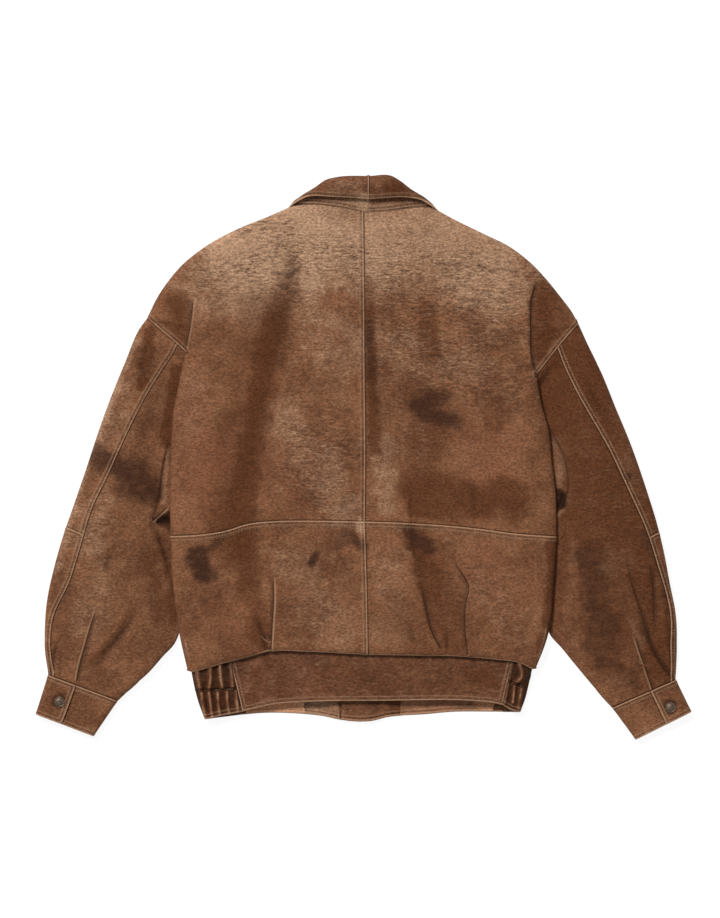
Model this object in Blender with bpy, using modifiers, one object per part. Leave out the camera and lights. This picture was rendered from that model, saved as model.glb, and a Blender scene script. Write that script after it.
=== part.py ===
"""A worn brown leather blouson, fastened and laid flat on its front, back upwards.

Every piece that a maker would cut is its own wall of leather. The torso and each sleeve is a
flattened tube: a form that gives, for a place across it (s) and along it (v), the point on its
upper or its lower side. Each panel is a grid on a form, given its wall by Solidify.

Lengths in the lists are millimetres. The collar points along +Y and the back faces +Z.
"""

import math
from collections import namedtuple

import bmesh
import bpy
import numpy as np

MM = 0.001
# The middle of the laid jacket, which becomes the origin.
CENTRE = (0.15, 1.4, 0.0)

# Walls, and the gaps between neighbouring pieces.
WALL = 1.8
FACING_WALL = 1.4
SEAM = 0.3
LIP = 0.9
LIP_SHARE = 0.4
ARMHOLE_GAP = 0.9
SLEEVE_SEAM = 0.25
SLEEVE_TIP = 0.55

# Heights above the floor of the outer surface.
BACK_HIGH = 22.0
BLOUSE = 5.0
SIDE_EDGE = 14.0
SHOULDER_EDGE = 12.0
BAND_HIGH = 16.5
BAND_EDGE = 8.0
CUFF_HIGH = 17.1
CUFF_LAP = 15.0
CUFF_EDGE = 8.0
SLEEVE_HIGH = [(0, 24), (0.25, 30), (0.5, 34), (0.78, 33), (0.93, 25), (1, 17)]

# The overhang of the back above the hem band.
HEM_ROLL = 9.0
HEM_DROP = 4.9
HEM_TURN = 3.4

# The lapped front edges and the collar lift the fronts off the floor.
PLACKET_HALF = 31.0
PLACKET_TOP = 296.0
PLACKET_FREE = PLACKET_HALF - 0.5
OVER_LIFT = 3.4
UNDER_LIFT = 5.5
COLLAR_LIFT = 2.9

SNAP_RADIUS = 7.5
SNAP_HEIGHT = 2.8
SNAP_STEPS = 14

# Above this height a piece faces up, and below it down. A facing lies under the height of its own.
MIDDLE = 9.0
FACING_MIDDLE = 90.0

CENTRE_UPPER = [(0, 345.9), (1.3, 222), (1.8, 110), (2.8, 12), (2.1, -87.9)]
CENTRE_LOWER = [(2.1, -87.9), (4.9, -184), (6.3, -274.4)]

NECK_LEFT = [(0, 345.9), (-31.5, 352.5), (-76.3, 356.6), (-97.3, 355.2)]
SHOULDER_LEFT = [
    (-97.3, 355.2), (-132.3, 339.8), (-185.5, 317.4), (-224.7, 295), (-252.7, 272.6),
    (-272.3, 250.2), (-287.7, 227.8), (-302.8, 197),
]
ARMHOLE_LEFT = [(-302.8, 197), (-280.7, 177.4), (-259.3, 159.2), (-249.2, 149.4)]
SIDE_UPPER_LEFT = [
    (-249.2, 149.4), (-259.3, 101.8), (-267.1, 59.8), (-269.5, 24), (-270.9, -31), (-270.9, -108.2),
]
SIDE_LOWER_LEFT = [(-270.9, -108.2), (-266.4, -181), (-258.3, -242.6), (-245.8, -300)]
WAIST_LEFT = [
    (2.1, -87.9), (-80.5, -86.5), (-130.9, -87.6), (-161.7, -91), (-192.5, -100.5),
    (-228.9, -106.1), (-270.9, -108.2),
]
HEM_LEFT = [
    (6.3, -274.4), (-79.7, -270.3), (-133, -270.3), (-161.7, -277.6), (-192.5, -285.7),
    (-232, -297), (-245.8, -300),
]

NECK_RIGHT = [(0, 345.9), (35, 347.8), (80.5, 352.9), (95.6, 352.9)]
SHOULDER_RIGHT = [
    (95.6, 352.9), (118.3, 339.8), (163.1, 317.4), (207.9, 295), (235.9, 272.6),
    (256.9, 250.2), (275.1, 227.8), (291.9, 205.4), (301, 189.1),
]
ARMHOLE_RIGHT = [(301, 189.1), (282.1, 167.6), (263.6, 144.6), (242.1, 116.9)]
SIDE_UPPER_RIGHT = [
    (242.1, 116.9), (250.5, 72.4), (259.5, 41), (264, -4.6), (269, -43.4), (270.5, -108.9),
]
SIDE_LOWER_RIGHT = [(270.5, -108.9), (266.7, -169.8), (257.5, -250), (240.1, -297.2)]
WAIST_RIGHT = [
    (2.1, -87.9), (32.9, -88.6), (73.5, -90.7), (125.3, -94.2), (165.9, -98.4),
    (206.5, -104), (270.5, -108.9),
]
HEM_RIGHT = [
    (6.3, -274.4), (63.3, -275.4), (145.3, -277.5), (186.3, -281.5), (217.1, -285.7),
    (240.1, -297.2),
]

SLEEVE_INNER_LEFT = [
    (-250, 149.2), (-256.8, 118), (-259.5, 90), (-261.5, 60), (-264.5, 0), (-265, -76),
    (-262.5, -150), (-258.5, -200), (-257, -238), (-265, -259), (-280.7, -276.2), (-300.3, -298.6),
    (-325.5, -321), (-343.7, -338.5),
]
SLEEVE_OUTER_LEFT = [
    (-302.8, 197), (-312.9, 183), (-332.5, 138.2), (-367.5, 48.6), (-389.9, -18.6),
    (-405.3, -63.4), (-420.7, -108.2), (-433.3, -153), (-443.1, -197.8), (-446.6, -242.6),
    (-446.6, -265), (-441.7, -302.1),
]
SLEEVE_SEAM_LEFT = [
    (-259.7, 156.9), (-290.5, 111.6), (-312.9, 72.4), (-341.9, 10.4), (-363.7, -36.5),
    (-382.5, -74.1), (-390.3, -105.4), (-399.7, -136.2), (-416.9, -186.6), (-433, -214.6),
    (-438.5, -242.6), (-438, -270.6), (-433.7, -299),
]
SLEEVE_INNER_RIGHT = [
    (242.9, 116.6), (250.6, 82), (254, 50), (257.5, 10), (263, -43), (264.5, -100),
    (261, -170), (257.2, -215), (261, -245), (277.9, -265), (296.1, -287.4), (324.1, -321),
    (347.9, -348.2),
]
SLEEVE_OUTER_RIGHT = [
    (301, 189.1), (308.7, 171.8), (335.3, 115.8), (353.5, 71), (371.7, 26.2), (395.5, -41),
    (409.5, -85.8), (420.7, -130.6), (429.1, -175.4), (437.5, -220.2), (438.9, -265), (437.4, -308.8),
]
SLEEVE_SEAM_RIGHT = [
    (270.9, 154), (298.9, 91.4), (322.7, 50.3), (347.1, 6.9), (359.1, -19.7), (378.4, -61.6),
    (394.1, -95.6), (400.3, -113.1), (412.7, -155.3), (425.2, -192.8), (430, -230), (429.5, -261.5),
    (430.5, -305.5),
]

CUFF_LEFT = [(-343.9, -338.9), (-441.9, -302.5), (-378, -388.9), (-459.3, -357.8)]
CUFF_RIGHT = [(348.1, -348.6), (437.6, -309.2), (381.1, -393.7), (459.6, -354.5)]
CUFF_ROUND = (9.0, 9.0, 9.0, 1.0)
TAB_EDGE = (0.60, 0.55)
TAB_LAP = 0.85
SNAP_LEFT = (-425.2, -340.1)
SNAP_RIGHT = (429.8, -348.2)

BAND_SEAM_LEFT = [(-188.5, -279), (-176.5, -324.8), (-169.8, -354.2)]
BAND_SEAM_RIGHT = [(210.5, -277), (202.7, -309.4), (194.6, -344.6)]
BAND_LOW = [
    (-169.8, -353.9), (-149.7, -349), (-122.9, -343.4), (-89.5, -340.9), (-48.3, -339.5),
    (32.9, -338.9), (73.1, -338.2), (147.7, -338.9), (184.8, -342.4), (194.6, -344.6),
]
BAND_TOP = [
    (-188.5, -279), (-161.7, -269.5), (-133, -263), (6.3, -266.5), (145.3, -269), (210.5, -277),
]
BAND_ROUND = (12.0, 12.0, 12.0, 1.0)
GUSSET_OUTER_LEFT = [(-236.3, -293.2), (-234.1, -330.8), (-228.1, -350.4), (-222, -365.2)]
GUSSET_OUTER_RIGHT = [(230.3, -291.2), (229, -321), (226.5, -336), (219.5, -355.2)]
FRONT_LOW_LEFT = [
    (-222, -365.2), (-170.1, -358.5), (-141.3, -356.4), (-89.9, -357.4), (-59.5, -360.5), (-31, -366.2),
]
FRONT_LOW_RIGHT = [
    (219.5, -355.2), (165.9, -354.5), (124.7, -354.9), (83.3, -358.5), (52.9, -360.2), (31, -362.8),
]
FRONT_LOW_PLACKET = [(-31, -366.2), (-4.9, -368.6), (14.1, -367.2), (31, -362.8)]
FRONT_HEM = -292.0
FRONT_EAR = (8.0, 8.5)
BAND_FRONT_TOP = FRONT_HEM - 1.2
BAND_BELOW_LEFT = [(-186, BAND_FRONT_TOP), (-180, -325), (-172, -358.9)]
BAND_BELOW_RIGHT = [(204, BAND_FRONT_TOP), (200, -325), (194, -354.9)]
FACING_LEFT = (178.0, 90.0, 38.0)
FACING_RIGHT = (191.0, 55.0, -30.0)
FACING_SHORT = (2.0, 1.2)
# Distances from the middle at which the front of the band has a column.
BAND_COLUMNS = (165.0, 140.0, 115.0, 76.0, 63.0, 55.0, 47.0, 39.0, 31.0, 12.0, -10.0)
FRONT_SNAPS = (262, 162, 62, -38, -138, -238)
BAND_SNAP = -330

LEAF_FOLD_LEFT = [
    (7.5, 395.3, 33), (-36.4, 393.8, 32.5), (-51.7, 390.2, 31), (-66.8, 380.4, 27.5),
    (-86.5, 368.1, 20.5), (-99.5, 358.3, 12.5), (-102, 352.5, 5), (-95, 341, 1), (-72, 325, 0.4),
    (-42, 316.5, 0.3), (-6, 314, 0.3),
]
LEAF_EDGE_LEFT = [
    (7.5, 362.6, 31.5), (-41.3, 365.8, 31), (-80.5, 365.8, 28), (-93, 361, 23.5),
    (-104, 356.2, 16.5), (-112.5, 353.5, 9), (-120, 346, 2), (-119, 330, 0.4), (-105, 298, 0.3),
    (-86, 266, 0.3), (-62, 236, 0.3),
]
STAND_NECK_LEFT = [
    (0, 346.5, 22), (-31.5, 353.2, 21.8), (-60, 356.5, 20.6), (-84, 357.4, 17), (-94.6, 356.9, 12.5),
    (-91.2, 350.5, 8.5), (-79.5, 334.5, 4.3), (-55, 309.4, 2.9), (-31, 297.6, 3.6), (-5, 296.8, 4),
]
STAND_TOP_LEFT = [
    (0, 392.6, 31.6), (-36, 391.2, 31), (-51, 387.6, 29.6), (-65, 378, 26), (-84.5, 365.6, 19.4),
    (-96, 358.4, 13.4), (-93.6, 353.4, 9), (-84.5, 343.5, 5.2), (-66, 328.5, 3.6), (-41, 317, 3.4),
    (-5, 314, 3.8),
]
LEAF_FOLD_RIGHT = [
    (7.8, 395.3, 33), (39.5, 395.2, 32.5), (53.2, 387.1, 30.5), (65.1, 378, 27), (84.7, 365.8, 20.5),
    (97, 355.8, 12.5), (101, 350, 5), (93.5, 338.5, 1), (72, 324, 0.4), (42, 316.5, 0.3), (6, 314, 0.3),
]
LEAF_EDGE_RIGHT = [
    (7.8, 362.6, 31.5), (65.1, 365, 30.5), (80.5, 362.2, 27.5), (94, 356.2, 22.5),
    (106.5, 350.3, 16.5), (114.5, 347, 9), (121, 338.5, 2), (118.5, 323, 0.4), (105, 295, 0.3),
    (86, 265, 0.3), (62, 236, 0.3),
]
STAND_NECK_RIGHT = [
    (0.3, 346.5, 22), (35, 348.4, 21.8), (60, 352, 20.8), (82, 353.9, 17.5), (93, 354.4, 12.5),
    (90, 348.6, 8.5), (79.5, 333.5, 4.3), (55, 309.4, 2.9), (31, 297.6, 3.6), (5, 296.8, 4),
]
STAND_TOP_RIGHT = [
    (0.3, 392.6, 31.6), (38, 392.4, 31), (52, 385, 29.2), (63.5, 376, 26), (83, 363.4, 19.4),
    (94.4, 356, 13.4), (92.2, 351.4, 9), (84, 341.5, 5.2), (66, 328, 3.6), (41, 317, 3.4), (5, 314, 3.8),
]
LEAF_BULGE = 6.0
COLLAR_FLOOR = 0.2

NECK_DROP_LEFT = [(-31, PLACKET_TOP), (-55, 306), (-80, 331), (-97.3, 355.2)]
NECK_DROP_RIGHT = [(31, PLACKET_TOP), (55, 306), (80, 330), (95.6, 352.9)]

# Spacing of the facets: rows along the torso, and angles round a rolled edge.
TORSO_SPACING = 44.0
TORSO_COLUMNS = 5
FRONT_COLUMNS = 4
BAND_ROWS = 4
COLLAR_ROWS = 18
ROLL = np.radians([90, 54, 22])
UNDER_ROLL = np.radians([90, 50, 18])
HEM_TURNS = np.radians([0, 30, 60, 90, 120, 150])
# Which stretch of the torso's edge is the armhole, and how far from its two ends rows are added.
ARMHOLE = 1
ARMHOLE_STARTS = (1.4, 8.5, 21.0)
ARMHOLE_ENDS = (1.5, 4.5)
ELBOW = {"left": 0.575, "right": 0.60}
ARM_ROWS = 8
FOREARM_ROWS = 7

# The edge of a flattened tube: its height, the share of the rise that is a round nose, how far in
# the nose and the slope behind it reach, and the same for the lower side.
Edge = namedtuple("Edge", "height nose near far under under_nose")


def smooth_curve(points):
    """A smooth curve through the points, as a function of the share of its length."""
    points = np.asarray(points, float)
    steps = np.linalg.norm(np.diff(points, axis=0), axis=1)
    knots = np.concatenate([[0.0], np.cumsum(steps)]) / steps.sum()
    slopes = np.gradient(points, knots, axis=0)

    def curve(t):
        t = np.asarray(t, float)
        i = np.clip(np.searchsorted(knots, t, side="right") - 1, 0, len(knots) - 2)
        span = (knots[i + 1] - knots[i])[..., None]
        q = (t - knots[i])[..., None] / span
        start = (1 + 2 * q) * (1 - q) ** 2 * points[i] + q * (1 - q) ** 2 * span * slopes[i]
        end = q * q * (3 - 2 * q) * points[i + 1] - q * q * (1 - q) * span * slopes[i + 1]
        return start + end

    return curve


def length_of(points):
    return float(np.linalg.norm(np.diff(np.asarray(points, float), axis=0), axis=1).sum())


class Rail:
    """A line made of smooth stretches that meet at corners, from 0 to 1 along its length."""

    def __init__(self, *stretches):
        self.curves = [smooth_curve(stretch) for stretch in stretches]
        lengths = [length_of(stretch) for stretch in stretches]
        self.length = sum(lengths)
        self.corners = np.concatenate([[0.0], np.cumsum(lengths)]) / self.length

    def __call__(self, t):
        t = np.asarray(t, float)
        which = np.clip(np.searchsorted(self.corners, t, side="right") - 1, 0, len(self.curves) - 1)
        found = None
        for k, curve in enumerate(self.curves):
            start, end = self.corners[k], self.corners[k + 1]
            here = curve((t - start) / (end - start))
            found = here if found is None else np.where((which == k)[..., None], here, found)
        return found

    def rows(self, spacing, armhole=None):
        """Places along the rail about this far apart: one on every corner, more by the armhole."""
        places = [0.0]
        for k, (start, end) in enumerate(zip(self.corners[:-1], self.corners[1:])):
            length = (end - start) * self.length
            first = ARMHOLE_STARTS if k == armhole else (0.0,)
            last = ARMHOLE_ENDS if k == armhole else (0.0,)
            count = max(1, round((length - first[-1] - last[-1]) / spacing))
            middle = np.linspace(first[-1], length - last[-1], count + 1)
            ends = [length - d for d in last[-2::-1]] + [length] if k == armhole else []
            found = [*first[:-1], *middle, *ends]
            places += [start + d / self.length for d in found if d > 0]
        return np.array(places)


def swell(distance, nose, near, far):
    """How far a flattened tube has risen, this far in from its edge: a round nose, then a slope."""
    q = np.clip(distance / near, 0, 1)
    slow = np.clip(distance / far, 0, 1)
    return nose * np.sqrt(q * (2 - q)) + (1 - nose) * slow * slow * (3 - 2 * slow)


def ease(value):
    value = np.clip(value, 0, 1)
    return value * value * (3 - 2 * value)


class Form:
    """A flattened tube, or half of one: s runs from its inner rail to its outer rail, v along both."""

    def __init__(self, inner, outer, start, end, high, outer_edge, inner_edge=None, lift=None):
        self.inner, self.outer, self.start, self.end = inner, outer, start, end
        self.high, self.outer_edge, self.inner_edge = high, outer_edge, inner_edge
        self.lift = lift or (lambda x, y: 0 * x)

    def plan(self, s, v):
        """The patch stretched between the four edges, seen from above."""
        s, v = np.broadcast_arrays(np.asarray(s, float), np.asarray(v, float))
        across, along = s[..., None], v[..., None]
        sides = (1 - across) * self.inner(v) + across * self.outer(v)
        ends = (1 - along) * self.start(s) + along * self.end(s)
        corners = (1 - along) * ((1 - across) * self.inner(0.0) + across * self.outer(0.0))
        corners = corners + along * ((1 - across) * self.inner(1.0) + across * self.outer(1.0))
        return sides + ends - corners

    def width(self, v):
        return np.linalg.norm(self.inner(v) - self.outer(v), axis=-1)

    def upper(self, s, v):
        """The outer surface of the upper side."""
        s, v = np.broadcast_arrays(np.asarray(s, float), np.asarray(v, float))
        xy = self.plan(s, v)
        high = self.high(xy[..., 0], xy[..., 1], v)
        width = self.width(v)
        edge = self.outer_edge(v)
        rise = swell((1 - s) * width, edge.nose, edge.near, edge.far)
        z = high - (high - edge.height) * (1 - rise)
        if self.inner_edge:
            edge = self.inner_edge(v)
            rise = swell(s * width, edge.nose, edge.near, edge.far)
            z = z - (high - edge.height) * (1 - rise)
        return np.concatenate([xy, z[..., None]], axis=-1)

    def lower(self, s, v):
        """The outer surface of the lower side, which rests."""
        s, v = np.broadcast_arrays(np.asarray(s, float), np.asarray(v, float))
        xy = self.plan(s, v)
        low = self.lift(xy[..., 0], xy[..., 1])
        width = self.width(v)
        edge = self.outer_edge(v)
        fall = swell((1 - s) * width, edge.under_nose, edge.under, edge.under)
        z = low + (edge.height - low) * (1 - fall)
        if self.inner_edge:
            edge = self.inner_edge(v)
            fall = swell(s * width, edge.under_nose, edge.under, edge.under)
            z = z + (edge.height - low) * (1 - fall)
        return np.concatenate([xy, z[..., None]], axis=-1)


def piece(collection, name, grid, material, wall=WALL, middle=MIDDLE):
    """A wall of leather from a grid of points on its outer surface, given inwards."""
    grid = (np.asarray(grid) - CENTRE) * MM
    rows, columns = grid.shape[:2]
    mesh = bpy.data.meshes.new(name)
    shape = bmesh.new()
    bmesh.ops.create_grid(shape, x_segments=columns - 1, y_segments=rows - 1, size=1)
    for vertex in shape.verts:
        i = round((vertex.co.x + 1) / 2 * (columns - 1))
        j = round((vertex.co.y + 1) / 2 * (rows - 1))
        vertex.co = grid[j, i]
    shape.normal_update()
    outward = 0.0
    for face in shape.faces:
        outward += face.normal.z * face.calc_area() * (face.calc_center_median().z - middle * MM)
    if outward < 0:
        bmesh.ops.reverse_faces(shape, faces=shape.faces[:])
    shape.to_mesh(mesh)
    shape.free()
    mesh.shade_smooth()
    mesh.materials.append(material)
    part = bpy.data.objects.new(name, mesh)
    collection.objects.link(part)
    solid = part.modifiers.new("Wall", "SOLIDIFY")
    solid.thickness = wall * MM
    solid.offset = -1
    return part


def finish(name, colour, roughness=0.75, metallic=0.0):
    material = bpy.data.materials.new(name)
    material.use_nodes = True
    shader = material.node_tree.nodes["Principled BSDF"]
    shader.inputs["Base Color"].default_value = (*colour, 1)
    shader.inputs["Roughness"].default_value = roughness
    shader.inputs["Metallic"].default_value = metallic
    return material


def edge_columns(form, v, side, radius, angles, at_outer=True, gap=SEAM / 2):
    """Places across the form that step round its edge, and what is added there to its height.

    The last two places share the edge itself, so that the wall there stands upright and meets
    the neighbour's wall squarely.
    """
    distance = radius[:, None] * (1 - np.cos(angles))[None, :]
    s = np.concatenate([distance / form.width(v)[:, None], np.zeros((len(v), 2))], axis=1)
    edge = (form.outer_edge if at_outer else form.inner_edge)(v)
    height = edge.height + 0 * v
    reach = (form.high(0 * v, 0 * v, v) - height) * edge.nose if side == "upper" else height
    first_step = math.sin(angles[-1]) * reach - gap
    rise = np.zeros(s.shape)
    rise[:, -2] = gap + np.minimum(LIP, LIP_SHARE * np.maximum(first_step, 0.2))
    rise[:, -1] = gap
    if side == "lower":
        rise = -np.minimum(rise, height[:, None])
    return (1 - s if at_outer else s), rise


def surface(form, side, s, v, rise=0.0):
    points = form.upper(s, v) if side == "upper" else form.lower(s, v)
    points[..., 2] += rise
    return points


def spaced(start, end, count):
    """Columns from one place across to another, for every row, without the last."""
    share = np.arange(count) / count
    return start[:, None] * (1 - share) + end[:, None] * share


def torso_high(x, y, v):
    side = ease((np.abs(x) - 110) / 120)
    blouse = ease((-130 - y) / 110)
    return BACK_HIGH + BLOUSE * (1 - (1 - 0.7 * side) * (1 - blouse))


def sleeve_high(x, y, v):
    return smooth_curve(SLEEVE_HIGH)(np.clip(v, 0, 1))[..., 1]


def sleeve_outer_edge(v):
    """Thick along the arm, flatter towards the cuff."""
    height = 12 + 4 * ease(v / 0.4) - 7.5 * ease((v - 0.7) / 0.3)
    flatter = ease((v - 0.8) / 0.2)
    return Edge(height, 0.6, 20 - 10 * flatter, 60.0, 26 - 16 * flatter, 1.0)


def sleeve_inner_edge(v):
    """Thin where it tucks under the body, round where the forearm is free of it."""
    freed = ease((v - 0.74) / 0.12)
    height = 14 - 9.2 * ease(v / 0.05) + 6 * freed - 2.3 * ease((v - 0.9) / 0.1)
    nose = 0.11 + 0.54 * freed + 0.28 * (1 - ease(v / 0.04))
    return Edge(height, nose, 4 + 8 * freed, 80 - 30 * freed, 8 + 2 * freed, 1.0)


def sleeve_form(side):
    inner = SLEEVE_INNER_LEFT if side == "left" else SLEEVE_INNER_RIGHT
    outer = SLEEVE_OUTER_LEFT if side == "left" else SLEEVE_OUTER_RIGHT
    armhole = ARMHOLE_LEFT if side == "left" else ARMHOLE_RIGHT
    start = smooth_curve([inner[0]] + armhole[-2:0:-1] + [armhole[0]])
    end = smooth_curve([inner[-1], outer[-1]])
    return Form(Rail(inner), Rail(outer), start, end, sleeve_high, sleeve_outer_edge, sleeve_inner_edge)


def sides(side):
    if side == "left":
        return SHOULDER_LEFT, ARMHOLE_LEFT, SIDE_UPPER_LEFT, SIDE_LOWER_LEFT
    return SHOULDER_RIGHT, ARMHOLE_RIGHT, SIDE_UPPER_RIGHT, SIDE_LOWER_RIGHT


def on_armhole(rail, v):
    """The share of the armhole passed at each row, and how open the edge is there, from 0 to 1."""
    start, end = rail.corners[ARMHOLE:ARMHOLE + 2]
    share = np.clip((v - start) / (end - start), 0, 1)
    inside = np.minimum(share, 1 - share) * (end - start) * rail.length
    return share, ease(inside / 12)


def torso_edge(rail, sleeve, upper):
    """The edge of the torso: shoulder, armhole and side, each with its own roll."""
    sleeve_side = sleeve.upper if upper else sleeve.lower
    turn = 0.0 if upper else HEM_TURN

    def edge(v):
        share, open_here = on_armhole(rail, v)
        shoulder = 1 - ease(share)
        plain = SIDE_EDGE + (SHOULDER_EDGE - SIDE_EDGE) * shoulder
        joined = (share > 0) & (share < 1)
        height = np.where(joined, sleeve_side(1 - share, 0 * share)[..., 2], plain)
        height = height - turn * ease((v - 0.968) / 0.02)
        closed = 1 - open_here
        return Edge(height, 0.75 * closed, 16.0, 50.0, 24 + 24 * (1 - shoulder), closed)

    return edge


def side_edge(v):
    return Edge(SIDE_EDGE + 0 * v, 0.75, 16.0, 50.0, 48.0, 1.0)


def torso_columns(form, v, side, count, start=0.0):
    """Columns from the middle out to the edge of the torso and round it."""
    edge = form.outer_edge(v)
    radius = np.broadcast_to(edge.near if side == "upper" else edge.under, v.shape)
    angles = ROLL if side == "upper" else UNDER_ROLL
    s, rise = edge_columns(form, v, side, radius, angles)
    joined = 1 - np.broadcast_to(edge.under_nose, v.shape)
    s[:, -2] -= joined * 1.5 / form.width(v)
    rise[:, -2:] *= (1 - joined)[:, None]
    first = start / form.width(v)
    flat = spaced(first, s[:, 0], count)
    return np.concatenate([flat, s], axis=1), np.concatenate([0 * flat, rise], axis=1)


def back_upper(collection, side, sleeve, material):
    neck = NECK_LEFT if side == "left" else NECK_RIGHT
    waist = WAIST_LEFT if side == "left" else WAIST_RIGHT
    outer = Rail(*sides(side)[:3])
    form = Form(
        Rail(CENTRE_UPPER), outer, smooth_curve(neck), smooth_curve(waist), torso_high,
        torso_edge(outer, sleeve, True),
    )
    v = outer.rows(TORSO_SPACING, ARMHOLE)
    s, rise = torso_columns(form, v, "upper", TORSO_COLUMNS, SEAM / 2)
    v[-1] -= SEAM / 2 / outer.length
    grid = surface(form, "upper", s, v[:, None], rise)
    return piece(collection, f"back_upper_{side}", grid, material)


def back_lower(collection, side, material):
    """The back below the waist seam, which bulges out and rolls under above the hem band."""
    waist = WAIST_LEFT if side == "left" else WAIST_RIGHT
    hem = HEM_LEFT if side == "left" else HEM_RIGHT
    outer = Rail(sides(side)[3])
    form = Form(Rail(CENTRE_LOWER), outer, smooth_curve(waist), smooth_curve(hem), torso_high, side_edge)
    flat = np.linspace(SEAM / 2 / outer.length, 1 - (HEM_ROLL + 22) / outer.length, 4)
    rolled = 1 - HEM_ROLL * (1 - np.sin(HEM_TURNS)) / outer.length
    v = np.concatenate([flat, rolled])
    drop = np.concatenate([0 * flat, HEM_DROP * (1 - np.cos(HEM_TURNS))])
    s, rise = torso_columns(form, v, "upper", TORSO_COLUMNS, SEAM / 2)
    grid = surface(form, "upper", s, v[:, None], rise)
    raised = (grid[..., 2] - SIDE_EDGE) / (BACK_HIGH + BLOUSE - SIDE_EDGE)
    grid[..., 2] -= drop[:, None] * (0.3 + 0.7 * np.clip(raised, 0, 1))
    return piece(collection, f"back_lower_{side}", grid, material)


def front_lift(side):
    """The fronts rest on the floor but for the collar under them and the fastened edges."""

    def lift(x, y):
        own = -x if side == "left" else x
        top = OVER_LIFT if side == "left" else UNDER_LIFT
        placket = top * (1 - ease((own - PLACKET_HALF) / 32))
        collar = COLLAR_LIFT * ease((y - 205) / 25) * (1 - ease((own - 125) / 25))
        return np.maximum(placket, collar)

    return lift


def front(collection, side, sleeve, material):
    sign = -1 if side == "left" else 1
    neck = NECK_DROP_LEFT if side == "left" else NECK_DROP_RIGHT
    edge_x = sign * PLACKET_HALF
    inner = [(edge_x, PLACKET_TOP), (edge_x, 0), (edge_x, FRONT_HEM)]
    outer = Rail(*sides(side))
    corner = sides(side)[3][-1]
    ear = (corner[0] - sign * FRONT_EAR[0], corner[1] + FRONT_EAR[1])
    end = [inner[-1], (sign * 120, FRONT_HEM), (sign * 200, FRONT_HEM + 1), ear, corner]
    edge = torso_edge(outer, sleeve, False)
    form = Form(
        Rail(inner), outer, smooth_curve(neck), smooth_curve(end), torso_high, edge,
        lift=front_lift(side),
    )
    v = outer.rows(TORSO_SPACING, ARMHOLE)
    s, rise = torso_columns(form, v, "lower", FRONT_COLUMNS, SEAM / 2)
    grid = surface(form, "lower", s, v[:, None], rise)
    return piece(collection, f"front_{side}", grid, material)


def across_at(form, seam):
    """Where the seam's points lie across the form, as a function of the place along it."""
    s, v = np.meshgrid(np.linspace(0, 1, 161), np.linspace(0, 1, 241))
    plan = form.plan(s, v)
    found = []
    for point in smooth_curve(seam)(np.linspace(0, 1, 40)):
        nearest = np.argmin(np.linalg.norm(plan - point, axis=-1))
        found.append((v.flat[nearest], s.flat[nearest]))
    found.sort()
    return lambda v: np.interp(v, [f[0] for f in found], [f[1] for f in found])


def sleeve_under(collection, side, form, seam, v, material):
    """The narrow panel between the body and the long seam, on the upper side of the sleeve."""
    width = form.width(v)
    near = np.broadcast_to(form.inner_edge(v).near, v.shape)
    s, rise = edge_columns(form, v, "upper", near, ROLL, at_outer=False, gap=SLEEVE_TIP)
    s, rise = s[:, ::-1], rise[:, ::-1]
    line = np.maximum(seam(v) - SLEEVE_SEAM / width, s[:, -1] + 4 / width)
    more = spaced(line, s[:, -1], 5)[:, ::-1]
    s = np.concatenate([s, more], axis=1)
    rise = np.concatenate([rise, 0 * more], axis=1)
    grid = surface(form, "upper", s, v[:, None], rise)
    return piece(collection, f"sleeve_under_{side}", grid, material)


def sleeve_top(collection, name, form, seam, v, material):
    """From the long seam round the outer edge and back under the whole arm."""
    width = form.width(v)
    line = np.maximum(seam(v), (form.inner_edge(v).near + 4) / width) + SLEEVE_SEAM / width
    room = ((1 - line) * width - 1.5) / (1 - math.cos(ROLL[1]))
    radius = np.minimum(form.outer_edge(v).near, room)
    s_up, rise_up = edge_columns(form, v, "upper", radius, ROLL[1:])
    first = spaced(line, s_up[:, 0], 2)
    s_up = np.concatenate([first, s_up], axis=1)
    upper = surface(form, "upper", s_up, v[:, None], np.concatenate([0 * first, rise_up], axis=1))

    around = np.broadcast_to(form.outer_edge(v).under, v.shape)
    s_low, rise_low = edge_columns(form, v, "lower", around, UNDER_ROLL)
    s_low, rise_low = s_low[:, ::-1], rise_low[:, ::-1]
    inner = np.broadcast_to(form.inner_edge(v).under, v.shape)
    s_in, rise_in = edge_columns(form, v, "lower", inner, UNDER_ROLL, at_outer=False, gap=SLEEVE_TIP)
    rest = spaced(s_low[:, -1], s_in[:, 0], 3)[:, 1:]
    s_low = np.concatenate([s_low[:, 1:], rest, s_in], axis=1)
    rise_low = np.concatenate([rise_low[:, 1:], 0 * rest, rise_in], axis=1)
    lower = surface(form, "lower", s_low, v[:, None], rise_low)
    return piece(collection, name, np.concatenate([upper, lower], axis=1), material)


def sleeve_pieces(collection, side, form, material):
    seam = across_at(form, SLEEVE_SEAM_LEFT if side == "left" else SLEEVE_SEAM_RIGHT)
    length = form.outer.length
    elbow = ELBOW[side]
    gap = SEAM / 2 / length
    arm = np.linspace(ARMHOLE_GAP / length, elbow, ARM_ROWS)
    forearm = np.linspace(elbow, 1 - gap, FOREARM_ROWS)
    whole = np.concatenate([arm, forearm[1:]])
    above = np.append(arm[:-1], elbow - gap)
    below = np.append(elbow + gap, forearm[1:])
    sleeve_under(collection, side, form, seam, whole, material)
    sleeve_top(collection, f"sleeve_top_{side}", form, seam, above, material)
    sleeve_top(collection, f"sleeve_low_{side}", form, seam, below, material)


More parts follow.
